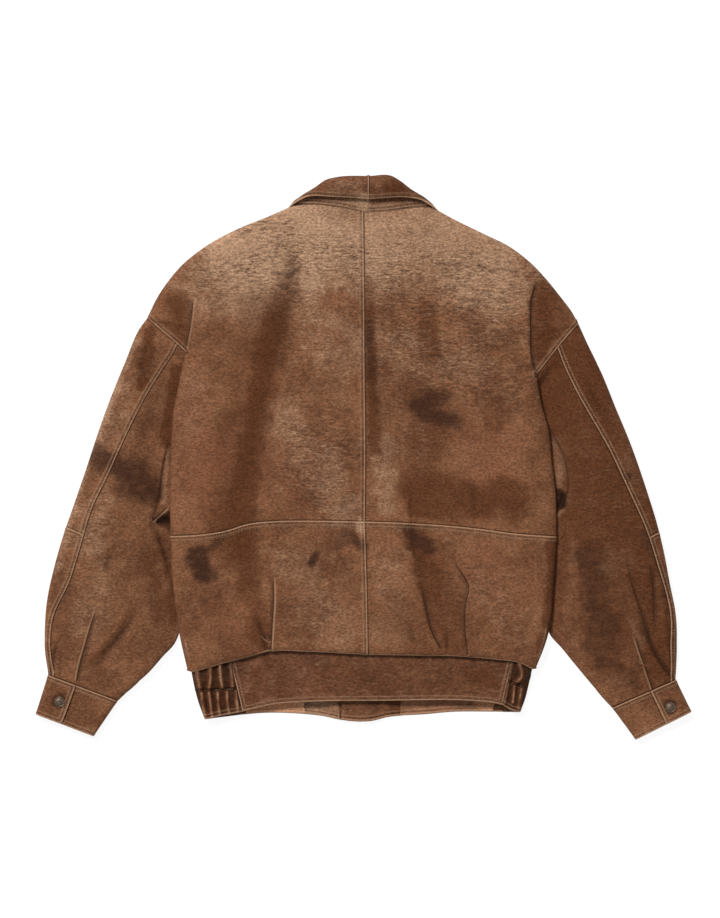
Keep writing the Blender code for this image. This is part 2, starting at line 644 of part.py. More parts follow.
def cuff(collection, side, material):
    """One strip round the wrist, whose tab laps over its own other end."""
    inner_start, outer_start, inner_end, outer_end = CUFF_LEFT if side == "left" else CUFF_RIGHT
    form = Form(
        Rail([inner_start, inner_end]), Rail([outer_start, outer_end]),
        smooth_curve([inner_start, outer_start]), smooth_curve([inner_end, outer_end]),
        lambda x, y, v: CUFF_HIGH + 0 * x,
        lambda v: Edge(CUFF_EDGE + 0.5 + 0 * v, 1.0, *CUFF_ROUND),
        lambda v: Edge(CUFF_EDGE - 0.5 + 0 * v, 1.0, *CUFF_ROUND),
    )
    v = np.linspace(SEAM / form.outer.length, 1, BAND_ROWS)
    radius = CUFF_ROUND[0] + 0 * v
    tab = TAB_EDGE[0] * (1 - v) + TAB_EDGE[1] * v
    round_outer, _ = edge_columns(form, v, "upper", radius, ROLL)
    round_inner, _ = edge_columns(form, v, "upper", radius, ROLL, at_outer=False)
    start = spaced(tab, round_outer[:, 0], 2)
    over = np.concatenate([start, round_outer[:, :-1]], axis=1)
    over = surface(form, "upper", over, v[:, None])
    flat = spaced(round_outer[:, 0], round_inner[:, 0], 3)[:, 1:]
    below = np.concatenate([round_outer[:, -3::-1], flat, round_inner[:, :-1]], axis=1)
    below = surface(form, "lower", below, v[:, None])
    end = TAB_LAP + 0 * v
    back = spaced(round_inner[:, 0], end, 4)[:, 1:]
    back = np.concatenate([round_inner[:, -3::-1], back, end[:, None]], axis=1)
    lap = surface(form, "upper", back, v[:, None])
    sunk = np.clip((lap[..., 2] - CUFF_EDGE + 0.5) / (CUFF_HIGH - CUFF_EDGE + 0.5), 0, 1)
    lap[..., 2] -= (CUFF_HIGH - CUFF_LAP) * sunk
    return piece(collection, f"cuff_{side}", np.concatenate([over, below, lap], axis=1), material)


def snap(collection, name, place, outer_z, material, facing=1):
    """A domed cap with a flat rim, turned round its own axis."""
    profile = [
        (0, SNAP_HEIGHT), (0.35, SNAP_HEIGHT - 0.15), (0.66, SNAP_HEIGHT - 0.6),
        (0.8, SNAP_HEIGHT - 1.3), (0.86, 1.1), (1, 1.2), (1, 0), (0, 0),
    ]
    mesh = bpy.data.meshes.new(name)
    shape = bmesh.new()
    corners = [shape.verts.new((r * SNAP_RADIUS * MM, 0, z * MM)) for r, z in profile]
    for first, second in zip(corners[:-1], corners[1:]):
        shape.edges.new((first, second))
    shape.to_mesh(mesh)
    shape.free()
    mesh.materials.append(material)
    part = bpy.data.objects.new(name, mesh)
    part.location = [(a - b) * MM for a, b in zip((*place, outer_z), CENTRE)]
    if facing < 0:
        part.rotation_euler = (math.pi, 0, 0)
    collection.objects.link(part)
    turn = part.modifiers.new("Turn", "SCREW")
    turn.steps = SNAP_STEPS
    turn.render_steps = SNAP_STEPS
    turn.use_merge_vertices = True
    turn.merge_threshold = 0.00001
    return part


def gusset(collection, side, material):
    """The gathered elastic stretch of the hem band, from back to front round the side."""
    sign = -1 if side == "left" else 1
    seam = BAND_SEAM_LEFT if side == "left" else BAND_SEAM_RIGHT
    outer = GUSSET_OUTER_LEFT if side == "left" else GUSSET_OUTER_RIGHT
    below = BAND_BELOW_LEFT if side == "left" else BAND_BELOW_RIGHT
    top_start = smooth_curve([seam[0], outer[0]])
    top_end = smooth_curve([seam[-1], (sign * 205, (seam[-1][1] + outer[-1][1]) / 2 - 1), outer[-1]])

    def edge(v):
        return Edge(BAND_EDGE + 0 * v, 1.0, *BAND_ROUND)

    def high(x, y, v):
        return BAND_HIGH + 0 * x

    upper = Form(Rail(seam), Rail(outer), top_start, top_end, high, edge)
    low_start = smooth_curve([below[0], outer[0]])
    low_end = smooth_curve([below[-1], outer[-1]])
    lower = Form(Rail(below), Rail(outer), low_start, low_end, high, edge)
    v = np.linspace(0, 1, BAND_ROWS)
    radius = BAND_ROUND[0] + 0 * v
    s_up, _ = edge_columns(upper, v, "upper", radius, ROLL)
    start = spaced(SEAM / upper.width(v), s_up[:, 0], 3)
    above = surface(upper, "upper", np.concatenate([start, s_up[:, :-1]], axis=1), v[:, None])
    s_low, _ = edge_columns(lower, v, "lower", radius, UNDER_ROLL)
    rest = spaced(s_low[:, 0], SEAM / lower.width(v), 3)[:, 1:]
    rest = np.concatenate([s_low[:, -3::-1], rest, (SEAM / lower.width(v))[:, None]], axis=1)
    under = surface(lower, "lower", rest, v[:, None])
    return piece(collection, f"band_side_{side}", np.concatenate([above, under], axis=1), material)


def band_back(collection, material):
    seam_left, seam_right = Rail(BAND_SEAM_LEFT), Rail(BAND_SEAM_RIGHT)
    form = Form(seam_left, seam_right, smooth_curve(BAND_TOP), smooth_curve(BAND_LOW), None, None)
    gap = SEAM / form.width(0.5)
    s, v = np.meshgrid(np.linspace(gap, 1 - gap, 15), np.linspace(0, 1, BAND_ROWS))
    plan = form.plan(s, v)
    grid = np.concatenate([plan, BAND_HIGH + 0 * plan[..., :1]], axis=-1)
    return piece(collection, "band_back", grid, material)


def placket(collection, side, material):
    """The strip along a front's edge: the left one laps over the right one and lies lower."""
    sewn = PLACKET_HALF - SEAM / 2
    x = (-sewn, PLACKET_FREE) if side == "left" else (-PLACKET_FREE, sewn)
    z = OVER_LIFT if side == "left" else UNDER_LIFT
    rows = np.linspace(PLACKET_TOP, FRONT_HEM, 3)
    grid = [[(across, along, z) for across in x] for along in rows]
    return piece(collection, f"placket_{side}", grid, material)


def band_front_form(side):
    """From the gathered stretch at the side to the free end that is lapped at the middle."""
    sign = -1 if side == "left" else 1
    below = BAND_BELOW_LEFT if side == "left" else BAND_BELOW_RIGHT
    low = FRONT_LOW_LEFT if side == "left" else FRONT_LOW_RIGHT
    beyond = FRONT_LOW_PLACKET[1:] if side == "left" else FRONT_LOW_PLACKET[-2::-1]
    corner = below[-1]
    free = -sign * PLACKET_FREE
    start = [below[0], (sign * 100, BAND_FRONT_TOP), (free, BAND_FRONT_TOP)]
    inside = [point for point in low if abs(point[0]) < abs(corner[0]) - 3]
    end = [corner, *inside, *beyond]
    free_end = Rail([(free, BAND_FRONT_TOP), (free, end[-1][1])])
    return Form(Rail(below), free_end, smooth_curve(start), smooth_curve(end), None, None)


def band_front(collection, side, material, tan):
    """The front of the hem band, and the facings that show on its inner side at the hem."""
    sign = -1 if side == "left" else 1
    form = band_front_form(side)
    first = abs((BAND_BELOW_LEFT if side == "left" else BAND_BELOW_RIGHT)[0][0])
    reach = first + PLACKET_FREE
    facing = FACING_LEFT if side == "left" else FACING_RIGHT
    columns = [*facing, *(place for place in BAND_COLUMNS if place > facing[1] + 8 or place < 80)]
    s = (first - np.unique(columns)[::-1]) / reach
    s = np.concatenate([[SEAM / reach], s[s > 2 * SEAM / reach], [1.0]])
    s = s[np.append(True, np.diff(s) > SEAM / reach)]
    v = np.linspace(0, 1, BAND_ROWS)
    plan = form.plan(s[None, :], v[:, None])
    z = front_lift(side)(plan[..., 0], 0 * plan[..., 1])
    grid = np.concatenate([plan, z[..., None]], axis=-1)
    piece(collection, f"band_front_{side}", grid, material)

    bounds = [(first - place) / reach for place in facing]
    kinds = (("facing", bounds[0], bounds[1], tan), ("placket_facing", bounds[1], bounds[2], material))
    for name, low, high, colour in kinds:
        inside = (s >= low - 1e-6) & (s <= high + 1e-6)
        inner = grid[:, inside] + [0, 0, WALL + SEAM]
        inner[:, 0, 0] -= sign * SEAM
        inner[0, :, 1] -= FACING_SHORT[0]
        inner[-1, :, 1] += FACING_SHORT[1]
        piece(collection, f"{name}_{side}", inner, colour, wall=FACING_WALL, middle=FACING_MIDDLE)


def collar(collection, side, material):
    """A fold-down leaf over a stand, from the centre back round the neck to the front."""
    fold = smooth_curve(LEAF_FOLD_LEFT if side == "left" else LEAF_FOLD_RIGHT)
    edge = smooth_curve(LEAF_EDGE_LEFT if side == "left" else LEAF_EDGE_RIGHT)
    neck = smooth_curve(STAND_NECK_LEFT if side == "left" else STAND_NECK_RIGHT)
    top = smooth_curve(STAND_TOP_LEFT if side == "left" else STAND_TOP_RIGHT)
    t = np.linspace(0, 1, COLLAR_ROWS)[:, None]
    w = np.linspace(0, 1, 5)[None, :]
    bulge = LEAF_BULGE * (1 - ease((t - 0.12) / 0.2)) * 4 * w * (1 - w) * (1.35 - 0.7 * w)
    leaf = fold(t) * (1 - w[..., None]) + edge(t) * w[..., None]
    leaf[..., 2] = np.maximum(leaf[..., 2] + bulge, COLLAR_FLOOR)
    piece(collection, f"collar_leaf_{side}", leaf, material)
    w = np.linspace(0, 1, 3)[None, :]
    stand = neck(t) * (1 - w[..., None]) + top(t) * w[..., None]
    piece(collection, f"collar_stand_{side}", stand, material)


def build():
    for existing in list(bpy.data.objects):
        bpy.data.objects.remove(existing)
    collection = bpy.data.collections.new("worn_leather_jacket")
    bpy.context.scene.collection.children.link(collection)

    hide = finish("brown leather", (0.19, 0.088, 0.048))
    dark = finish("darker leather", (0.10, 0.045, 0.026))
    smooth = finish("tan facing", (0.21, 0.09, 0.045), 0.6)
    brass = finish("dark brass", (0.11, 0.061, 0.039), 0.45, 1.0)

    for side in ("left", "right"):
        sleeve = sleeve_form(side)
        back_upper(collection, side, sleeve, hide)
        back_lower(collection, side, hide)
        front(collection, side, sleeve, hide)
        sleeve_pieces(collection, side, sleeve, hide)
        cuff(collection, side, hide)
        gusset(collection, side, dark)
        place = SNAP_LEFT if side == "left" else SNAP_RIGHT
        snap(collection, f"snap_cuff_{side}", place, CUFF_HIGH + SEAM, brass)
        placket(collection, side, hide)
        band_front(collection, side, dark, smooth)
        collar(collection, side, dark)
    band_back(collection, dark)
    for k, along in enumerate((*FRONT_SNAPS, BAND_SNAP), start=1):
        snap(collection, f"snap_front_{k}", (0, along), OVER_LIFT - SEAM, brass, facing=-1)


build()
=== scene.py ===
# %% [markdown]
# A worn leather jacket, laid flat on its front. The imported solids give the size and the place of
# every piece. The looks are made here: each panel becomes a thin sheet of leather on the form of
# its solid, with the folds, seams, stitches and stains that years of wear have left on it.
# The frame is loaded first.

# %% Load the frame
import math
from collections import namedtuple
from functools import partial

import bmesh
import bpy
import numpy as np
from mathutils import Matrix, Vector
from mathutils.bvhtree import BVHTree


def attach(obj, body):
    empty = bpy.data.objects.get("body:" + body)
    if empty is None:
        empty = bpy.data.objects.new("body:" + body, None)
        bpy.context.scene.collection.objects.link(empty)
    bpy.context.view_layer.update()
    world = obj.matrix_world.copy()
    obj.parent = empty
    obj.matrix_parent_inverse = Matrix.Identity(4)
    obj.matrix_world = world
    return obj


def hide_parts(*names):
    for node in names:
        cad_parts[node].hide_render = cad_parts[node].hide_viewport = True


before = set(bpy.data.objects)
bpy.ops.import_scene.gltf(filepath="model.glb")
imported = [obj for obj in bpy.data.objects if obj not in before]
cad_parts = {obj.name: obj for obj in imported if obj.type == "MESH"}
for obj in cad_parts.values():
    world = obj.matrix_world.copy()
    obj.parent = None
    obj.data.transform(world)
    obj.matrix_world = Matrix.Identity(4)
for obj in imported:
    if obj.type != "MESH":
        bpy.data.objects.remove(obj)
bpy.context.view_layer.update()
print("nodes", len(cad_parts))

# %% [markdown]
# Lengths below are millimetres, and heights are measured from the floor. The lists describe a
# jacket whose neck seam is near the middle of X; the last step moves it so that the origin is at
# the middle of the whole laid jacket. These are the walls, gaps and heights of the solid pieces.

# %% Sizes
SIDES = ("left", "right")
SIGN = {"left": -1, "right": 1}
MM = 0.001
CENTRE = np.array([0.15, 1.4, 0.0])
PIXEL = 1.4
LEATHER = 1.4
SOLID_LEATHER = 1.8
FACING_LEATHER = 1.1
SEAM = 0.3
BACK_HIGH = 22.0
BLOUSE = 5.0
BACK_ROLL = 16.0
BACK_SLOPE = 50.0
SIDE_EDGE = 14.0
SHOULDER_EDGE = 12.0
BAND_HIGH = 16.5
BAND_EDGE = 8.0
CUFF_HIGH = 17.1
CUFF_LAP = 15.0
CUFF_EDGE = 8.0
SLEEVE_HIGH = [(0, 24), (0.25, 30), (0.5, 34), (0.78, 33), (0.93, 25), (1, 17)]
HEM_ROLL = 9.0
HEM_ANGLE = 150.0
HEM_DROP = 4.9
HEM_TURN = 3.4
PLACKET_HALF = 31.0
PLACKET_TOP = 296.0
PLACKET_FREE = PLACKET_HALF - 0.5
OVER_LIFT = 3.4
UNDER_LIFT = 5.5
COLLAR_LIFT = 2.9
SNAP_RADIUS = 7.5
SNAP_HEIGHT = 2.8
ELBOW = {"left": 0.598, "right": 0.60}
LEAF_BULGE = 6.0
COLLAR_FLOOR = 0.2

# %% [markdown]
# The outlines of the pieces, seen from above: neck, shoulder, armhole, side, waist and hem of the
# torso, then the sleeves, cuffs, hem band and collar. A real pattern cutter also starts from such
# lines. They are the same lines that the solid pieces were made from, so each sheet fits its solid.

# %% Outlines of the torso
CENTRE_UPPER = [(0, 345.9), (1.3, 222), (1.8, 110), (2.8, 12), (2.1, -87.9)]
CENTRE_LOWER = [(2.1, -87.9), (4.9, -184), (6.3, -274.4)]
NECK = {
    "left": [(0, 345.9), (-31.5, 352.5), (-76.3, 356.6), (-97.3, 355.2)],
    "right": [(0, 345.9), (35, 347.8), (80.5, 352.9), (95.6, 352.9)],
}
SHOULDER = {
    "left": [
        (-97.3, 355.2), (-132.3, 339.8), (-185.5, 317.4), (-224.7, 295), (-252.7, 272.6),
        (-272.3, 250.2), (-287.7, 227.8), (-302.8, 197),
    ],
    "right": [
        (95.6, 352.9), (118.3, 339.8), (163.1, 317.4), (207.9, 295), (235.9, 272.6),
        (256.9, 250.2), (275.1, 227.8), (291.9, 205.4), (301, 189.1),
    ],
}
ARMHOLE = {
    "left": [(-302.8, 197), (-280.7, 177.4), (-259.3, 159.2), (-249.2, 149.4)],
    "right": [(301, 189.1), (282.1, 167.6), (263.6, 144.6), (242.1, 116.9)],
}
SIDE_UPPER = {
    "left": [
        (-249.2, 149.4), (-259.3, 101.8), (-267.1, 59.8), (-269.5, 24), (-270.9, -31), (-270.9, -108.2),
    ],
    "right": [
        (242.1, 116.9), (250.5, 72.4), (259.5, 41), (264, -4.6), (269, -43.4), (270.5, -108.9),
    ],
}
SIDE_LOWER = {
    "left": [(-270.9, -108.2), (-266.4, -181), (-258.3, -242.6), (-245.8, -300)],
    "right": [(270.5, -108.9), (266.7, -169.8), (257.5, -250), (240.1, -297.2)],
}
WAIST = {
    "left": [
        (2.1, -87.9), (-80.5, -86.5), (-130.9, -87.6), (-161.7, -91), (-192.5, -100.5),
        (-228.9, -106.1), (-270.9, -108.2),
    ],
    "right": [
        (2.1, -87.9), (32.9, -88.6), (73.5, -90.7), (125.3, -94.2), (165.9, -98.4),
        (206.5, -104), (270.5, -108.9),
    ],
}
HEM = {
    "left": [
        (6.3, -274.4), (-79.7, -270.3), (-133, -270.3), (-161.7, -277.6), (-192.5, -285.7),
        (-232, -297), (-245.8, -300),
    ],
    "right": [
        (6.3, -274.4), (63.3, -275.4), (145.3, -277.5), (186.3, -281.5), (217.1, -285.7),
        (240.1, -297.2),
    ],
}
NECK_DROP = {
    "left": [(-31, PLACKET_TOP), (-55, 306), (-80, 331), (-97.3, 355.2)],
    "right": [(31, PLACKET_TOP), (55, 306), (80, 330), (95.6, 352.9)],
}

# %% Outlines of the sleeves and cuffs
SLEEVE_INNER = {
    "left": [
        (-247, 150), (-251.5, 118), (-256.5, 90), (-260.5, 60), (-264.5, 0), (-265, -76),
        (-262.5, -150), (-258.5, -200), (-257, -238), (-265, -259), (-280.7, -276.2),
        (-300.3, -298.6), (-325.5, -321), (-343.7, -338.5),
    ],
    "right": [
        (242.4, 116.6), (247, 82), (252, 50), (257.5, 10), (263, -43), (264.5, -100),
        (261, -170), (257.2, -215), (261, -245), (277.9, -265), (296.1, -287.4), (324.1, -321),
        (347.9, -348.2),
    ],
}
SLEEVE_OUTER = {
    "left": [
        (-302.8, 197), (-312.9, 183), (-332.5, 138.2), (-367.5, 48.6), (-389.9, -18.6),
        (-405.3, -63.4), (-420.7, -108.2), (-433.3, -153), (-443.1, -197.8), (-446.6, -242.6),
        (-446.6, -265), (-441.7, -302.1),
    ],
    "right": [
        (301, 189.1), (308.7, 171.8), (335.3, 115.8), (353.5, 71), (371.7, 26.2), (395.5, -41),
        (409.5, -85.8), (420.7, -130.6), (429.1, -175.4), (437.5, -220.2), (438.9, -265),
        (437.4, -308.8),
    ],
}
SLEEVE_SEAM = {
    "left": [
        (-259.7, 156.9), (-290.5, 111.6), (-312.9, 72.4), (-341.9, 10.4), (-363.7, -36.5),
        (-382.5, -74.1), (-390.3, -105.4), (-399.7, -136.2), (-416.9, -186.6), (-433, -214.6),
        (-438.5, -242.6), (-438, -270.6), (-433.7, -299),
    ],
    "right": [
        (270.9, 154), (298.9, 91.4), (322.7, 50.3), (347.1, 6.9), (359.1, -19.7), (378.4, -61.6),
        (394.1, -95.6), (400.3, -113.1), (412.7, -155.3), (425.2, -192.8), (430, -230),
        (429.5, -261.5), (430.5, -305.5),
    ],
}
CUFF = {
    "left": [(-343.9, -338.9), (-441.9, -302.5), (-378, -388.9), (-459.3, -357.8)],
    "right": [(348.1, -348.6), (437.6, -309.2), (381.1, -393.7), (459.6, -354.5)],
}
CUFF_ROUND = (9.0, 9.0, 9.0, 1.0)
TAB_EDGE = (0.60, 0.55)
TAB_LAP = 0.85
CUFF_SNAP = {"left": (-425.2, -340.1), "right": (429.8, -348.2)}

# %% Outlines of the hem band
BAND_SEAM = {
    "left": [(-188.5, -279), (-176.5, -324.8), (-169.8, -354.2)],
    "right": [(210.5, -277), (202.7, -309.4), (194.6, -344.6)],
}
BAND_LOW = [
    (-169.8, -353.9), (-149.7, -349), (-122.9, -343.4), (-89.5, -340.9), (-48.3, -339.5),
    (32.9, -338.9), (73.1, -338.2), (147.7, -338.9), (184.8, -342.4), (194.6, -344.6),
]
BAND_TOP = [
    (-188.5, -279), (-161.7, -269.5), (-133, -263), (6.3, -266.5), (145.3, -269), (210.5, -277),
]
BAND_ROUND = (12.0, 12.0, 12.0, 1.0)
GUSSET_OUTER = {
    "left": [(-242, -294), (-236.5, -322), (-229, -348), (-222, -365.2)],
    "right": [(237, -292), (230.5, -321), (227, -335), (219.5, -355.2)],
}
FRONT_LOW = {
    "left": [
        (-222, -365.2), (-170.1, -358.5), (-141.3, -356.4), (-89.9, -357.4), (-59.5, -360.5),
        (-31, -366.2),
    ],
    "right": [
        (219.5, -355.2), (165.9, -354.5), (124.7, -354.9), (83.3, -358.5), (52.9, -360.2),
        (31, -362.8),
    ],
}
FRONT_LOW_PLACKET = [(-31, -366.2), (-4.9, -368.6), (14.1, -367.2), (31, -362.8)]
FRONT_HEM = -292.0
FRONT_EAR = (8.0, 8.5)
BAND_FRONT_TOP = FRONT_HEM - 1.2
BAND_BELOW = {
    "left": [(-186, BAND_FRONT_TOP), (-180, -325), (-172, -358.9)],
    "right": [(204, BAND_FRONT_TOP), (200, -325), (194, -354.9)],
}
FACING = {"left": (178.0, 90.0, 38.0), "right": (191.0, 55.0, -30.0)}
FACING_SHORT = (2.0, 1.2)
FRONT_SNAPS = (262, 162, 62, -38, -138, -238, -330)

# %% Outlines of the collar, with their heights
LEAF_FOLD = {
    "left": [
        (7.5, 395.3, 33), (-36.4, 393.8, 32.5), (-51.7, 390.2, 31), (-66.8, 380.4, 27.5),
        (-86.5, 368.1, 20.5), (-99.5, 358.3, 12.5), (-102, 352.5, 5), (-95, 341, 1),
        (-72, 325, 0.4), (-42, 316.5, 0.3), (-6, 314, 0.3),
    ],
    "right": [
        (7.8, 395.3, 33), (39.5, 395.2, 32.5), (53.2, 387.1, 30.5), (65.1, 378, 27),
        (84.7, 365.8, 20.5), (97, 355.8, 12.5), (101, 350, 5), (93.5, 338.5, 1), (72, 324, 0.4),
        (42, 316.5, 0.3), (6, 314, 0.3),
    ],
}
LEAF_EDGE = {
    "left": [
        (7.5, 362.6, 31.5), (-41.3, 365.8, 31), (-80.5, 365.3, 28), (-92, 360, 23.5),
        (-101.5, 354.3, 16.5), (-107.5, 348.8, 8), (-113, 341, 2), (-114, 328, 0.4),
        (-105, 298, 0.3), (-86, 266, 0.3), (-62, 236, 0.3),
    ],
    "right": [
        (7.8, 362.6, 31.5), (65.1, 364.5, 30.5), (80.5, 361.4, 27.5), (93, 354.8, 22.5),
        (103, 348.3, 16), (108, 343.5, 8), (112.5, 336, 2), (114, 322, 0.4),
        (105, 295, 0.3), (86, 265, 0.3), (62, 236, 0.3),
    ],
}
STAND_NECK = {
    "left": [
        (0, 346.5, 22), (-31.5, 353.2, 21.8), (-60, 356.5, 20.6), (-84, 357.4, 17),
        (-94.6, 356.9, 12.5), (-91.2, 350.5, 8.5), (-79.5, 334.5, 4.3), (-55, 309.4, 2.9),
        (-31, 297.6, 3.6), (-5, 296.8, 4),
    ],
    "right": [
        (0.3, 346.5, 22), (35, 348.4, 21.8), (60, 352, 20.8), (82, 353.9, 17.5),
        (93, 354.4, 12.5), (90, 348.6, 8.5), (79.5, 333.5, 4.3), (55, 309.4, 2.9),
        (31, 297.6, 3.6), (5, 296.8, 4),
    ],
}
STAND_TOP = {
    "left": [
        (0, 392.6, 31.6), (-36, 391.2, 31), (-51, 387.6, 29.6), (-65, 378, 26),
        (-84.5, 365.6, 19.4), (-96, 358.4, 13.4), (-93.6, 353.4, 9), (-84.5, 343.5, 5.2),
        (-66, 328.5, 3.6), (-41, 317, 3.4), (-5, 314, 3.8),
    ],
    "right": [
        (0.3, 392.6, 31.6), (38, 392.4, 31), (52, 385, 29.2), (63.5, 376, 26),
        (83, 363.4, 19.4), (94.4, 356, 13.4), (92.2, 351.4, 9), (84, 341.5, 5.2),
        (66, 328, 3.6), (41, 317, 3.4), (5, 314, 3.8),
    ],
}

# %% [markdown]
# A panel's edge is a smooth line through its points. Cubic stretches between the points do this
# without a curve object, and they can be asked for any place along the line. A Rail joins several
# of them at corners, such as shoulder, armhole and side.

# %% Smooth lines
def smooth_curve(points):
    """A smooth curve through the points, as a function of the share of its length."""
    points = np.asarray(points, float)
    steps = np.linalg.norm(np.diff(points, axis=0), axis=1)
    knots = np.concatenate([[0.0], np.cumsum(steps)]) / steps.sum()
    slopes = np.gradient(points, knots, axis=0)

    def curve(t):
        t = np.asarray(t, float)
        i = np.clip(np.searchsorted(knots, t, side="right") - 1, 0, len(knots) - 2)
        span = (knots[i + 1] - knots[i])[..., None]
        q = (t - knots[i])[..., None] / span
        start = (1 + 2 * q) * (1 - q) ** 2 * points[i] + q * (1 - q) ** 2 * span * slopes[i]
        end = q * q * (3 - 2 * q) * points[i + 1] - q * q * (1 - q) * span * slopes[i + 1]
        return start + end

    return curve


def length_of(points):
    return float(np.linalg.norm(np.diff(np.asarray(points, float), axis=0), axis=1).sum())


class Rail:
    """A line made of smooth stretches that meet at corners, from 0 to 1 along its length."""

    def __init__(self, *stretches):
        self.curves = [smooth_curve(stretch) for stretch in stretches]
        lengths = [length_of(stretch) for stretch in stretches]
        self.length = sum(lengths)
        self.corners = np.concatenate([[0.0], np.cumsum(lengths)]) / self.length

    def __call__(self, t):
        t = np.asarray(t, float)
        which = np.clip(np.searchsorted(self.corners, t, side="right") - 1, 0, len(self.curves) - 1)
        found = None
        for k, curve in enumerate(self.curves):
            start, end = self.corners[k], self.corners[k + 1]
            here = curve((t - start) / (end - start))
            found = here if found is None else np.where((which == k)[..., None], here, found)
        return found


def ease(value):
    """A soft step from 0 to 1."""
    value = np.clip(value, 0, 1)
    return value * value * (3 - 2 * value)


# %% [markdown]
# A garment that lies flat is a set of flattened tubes. The torso is one and each sleeve is one.
# Such a tube has an upper and a lower side that meet at a rounded edge. The class below gives the
# point on either side for a place across (s) and along (v), so a panel is just a grid on it.

# %% Flattened tubes
Edge = namedtuple("Edge", "height nose near far under under_nose")


def swell(distance, nose, near, far):
    """How far a flattened tube has risen, this far in from its edge: a round nose, then a slope."""
    q = np.clip(distance / near, 0, 1)
    slow = np.clip(distance / far, 0, 1)
    return nose * np.sqrt(q * (2 - q)) + (1 - nose) * slow * slow * (3 - 2 * slow)


class Form:
    """A flattened tube, or half of one: s runs from its inner to its outer rail, v along both."""

    def __init__(self, inner, outer, start, end, high=None, outer_edge=None, inner_edge=None,
                 lift=None):
        self.inner, self.outer, self.start, self.end = inner, outer, start, end
        self.high, self.outer_edge, self.inner_edge = high, outer_edge, inner_edge
        self.lift = lift or (lambda x, y: 0 * x)

    def plan(self, s, v):
        """The patch stretched between the four edges, seen from above."""
        s, v = np.broadcast_arrays(np.asarray(s, float), np.asarray(v, float))
        across, along = s[..., None], v[..., None]
        sides = (1 - across) * self.inner(v) + across * self.outer(v)
        ends = (1 - along) * self.start(s) + along * self.end(s)
        corners = (1 - along) * ((1 - across) * self.inner(0.0) + across * self.outer(0.0))
        corners = corners + along * ((1 - across) * self.inner(1.0) + across * self.outer(1.0))
        return sides + ends - corners

    def width(self, v):
        return np.linalg.norm(self.inner(v) - self.outer(v), axis=-1)

    def edges(self, s, v):
        """Each rounded edge at these places, with how far in from it they lie."""
        width = self.width(v)
        pairs = ((self.outer_edge, (1 - s) * width), (self.inner_edge, s * width))
        return [(edge(v), distance) for edge, distance in pairs if edge]

    def upper(self, s, v):
        """The outer surface of the upper side."""
        s, v = np.broadcast_arrays(np.asarray(s, float), np.asarray(v, float))
        xy = self.plan(s, v)
        z = high = self.high(xy[..., 0], xy[..., 1], v)
        for at, distance in self.edges(s, v):
            z = z - (high - at.height) * (1 - swell(distance, at.nose, at.near, at.far))
        return np.concatenate([xy, z[..., None]], axis=-1)

    def lower(self, s, v):
        """The outer surface of the lower side, which rests."""
        s, v = np.broadcast_arrays(np.asarray(s, float), np.asarray(v, float))
        xy = self.plan(s, v)
        z = low = self.lift(xy[..., 0], xy[..., 1])
        for at, distance in self.edges(s, v):
            z = z + (at.height - low) * (1 - swell(distance, at.under_nose, at.under, at.under))
        return np.concatenate([xy, z[..., None]], axis=-1)


# %% [markdown]
# The heights of the forms: the back is a little higher below the waist, where a blouson bulges out
# over its band, and a sleeve is thickest at the elbow and thin at the cuff.

# %% Heights
def torso_high(x, y, v):
    side = ease((np.abs(x) - 110) / 120)
    blouse = ease((-130 - y) / 110)
    return BACK_HIGH + BLOUSE * (1 - (1 - 0.7 * side) * (1 - blouse))


def sleeve_high(x, y, v):
    return smooth_curve(SLEEVE_HIGH)(np.clip(v, 0, 1))[..., 1]


def sleeve_outer_edge(v):
    height = 12 + 4 * ease(v / 0.4) - 7.5 * ease((v - 0.7) / 0.3)
    flatter = ease((v - 0.8) / 0.2)
    return Edge(height, 0.6, 20 - 10 * flatter, 60.0, 26 - 16 * flatter, 1.0)


def sleeve_inner_edge(v):
    freed = ease((v - 0.74) / 0.12)
    height = 14 - 9.2 * ease(v / 0.05) + 6 * freed - 2.3 * ease((v - 0.9) / 0.1)
    nose = 0.11 + 0.54 * freed + 0.28 * (1 - ease(v / 0.04))
    return Edge(height, nose, 4 + 8 * freed, 80 - 30 * freed, 8 + 2 * freed, 1.0)


def sleeve_form(side):
    inner, outer, armhole = SLEEVE_INNER[side], SLEEVE_OUTER[side], ARMHOLE[side]
    start = smooth_curve([inner[0]] + armhole[-2:0:-1] + [armhole[0]])
    end = smooth_curve([inner[-1], outer[-1]])
    return Form(Rail(inner), Rail(outer), start, end, sleeve_high, sleeve_outer_edge, sleeve_inner_edge)


def torso_edge(rail, sleeve, upper):
    """The edge of the torso: shoulder, armhole and side, each with its own roll."""
    sleeve_side = sleeve.upper if upper else sleeve.lower
    turn = 0.0 if upper else HEM_TURN

    def edge(v):
        start, end = rail.corners[1:3]
        share = np.clip((v - start) / (end - start), 0, 1)
        inside = np.minimum(share, 1 - share) * (end - start) * rail.length
        closed = 1 - ease(inside / 12)
        shoulder = 1 - ease(share)
        plain = SIDE_EDGE + (SHOULDER_EDGE - SIDE_EDGE) * shoulder
        joined = (share > 0) & (share < 1)
        height = np.where(joined, sleeve_side(1 - share, 0 * share)[..., 2], plain)
        height = height - turn * ease((v - 0.968) / 0.02)
        return Edge(height, 0.75 * closed, BACK_ROLL, BACK_SLOPE, 24 + 24 * (1 - shoulder), closed)

    return edge


def side_edge(v):
    return Edge(SIDE_EDGE + 0 * v, 0.75, BACK_ROLL, BACK_SLOPE, 48.0, 1.0)


SLEEVES = {side: sleeve_form(side) for side in SIDES}
print("sleeve lengths, mm", {side: round(form.outer.length) for side, form in SLEEVES.items()})
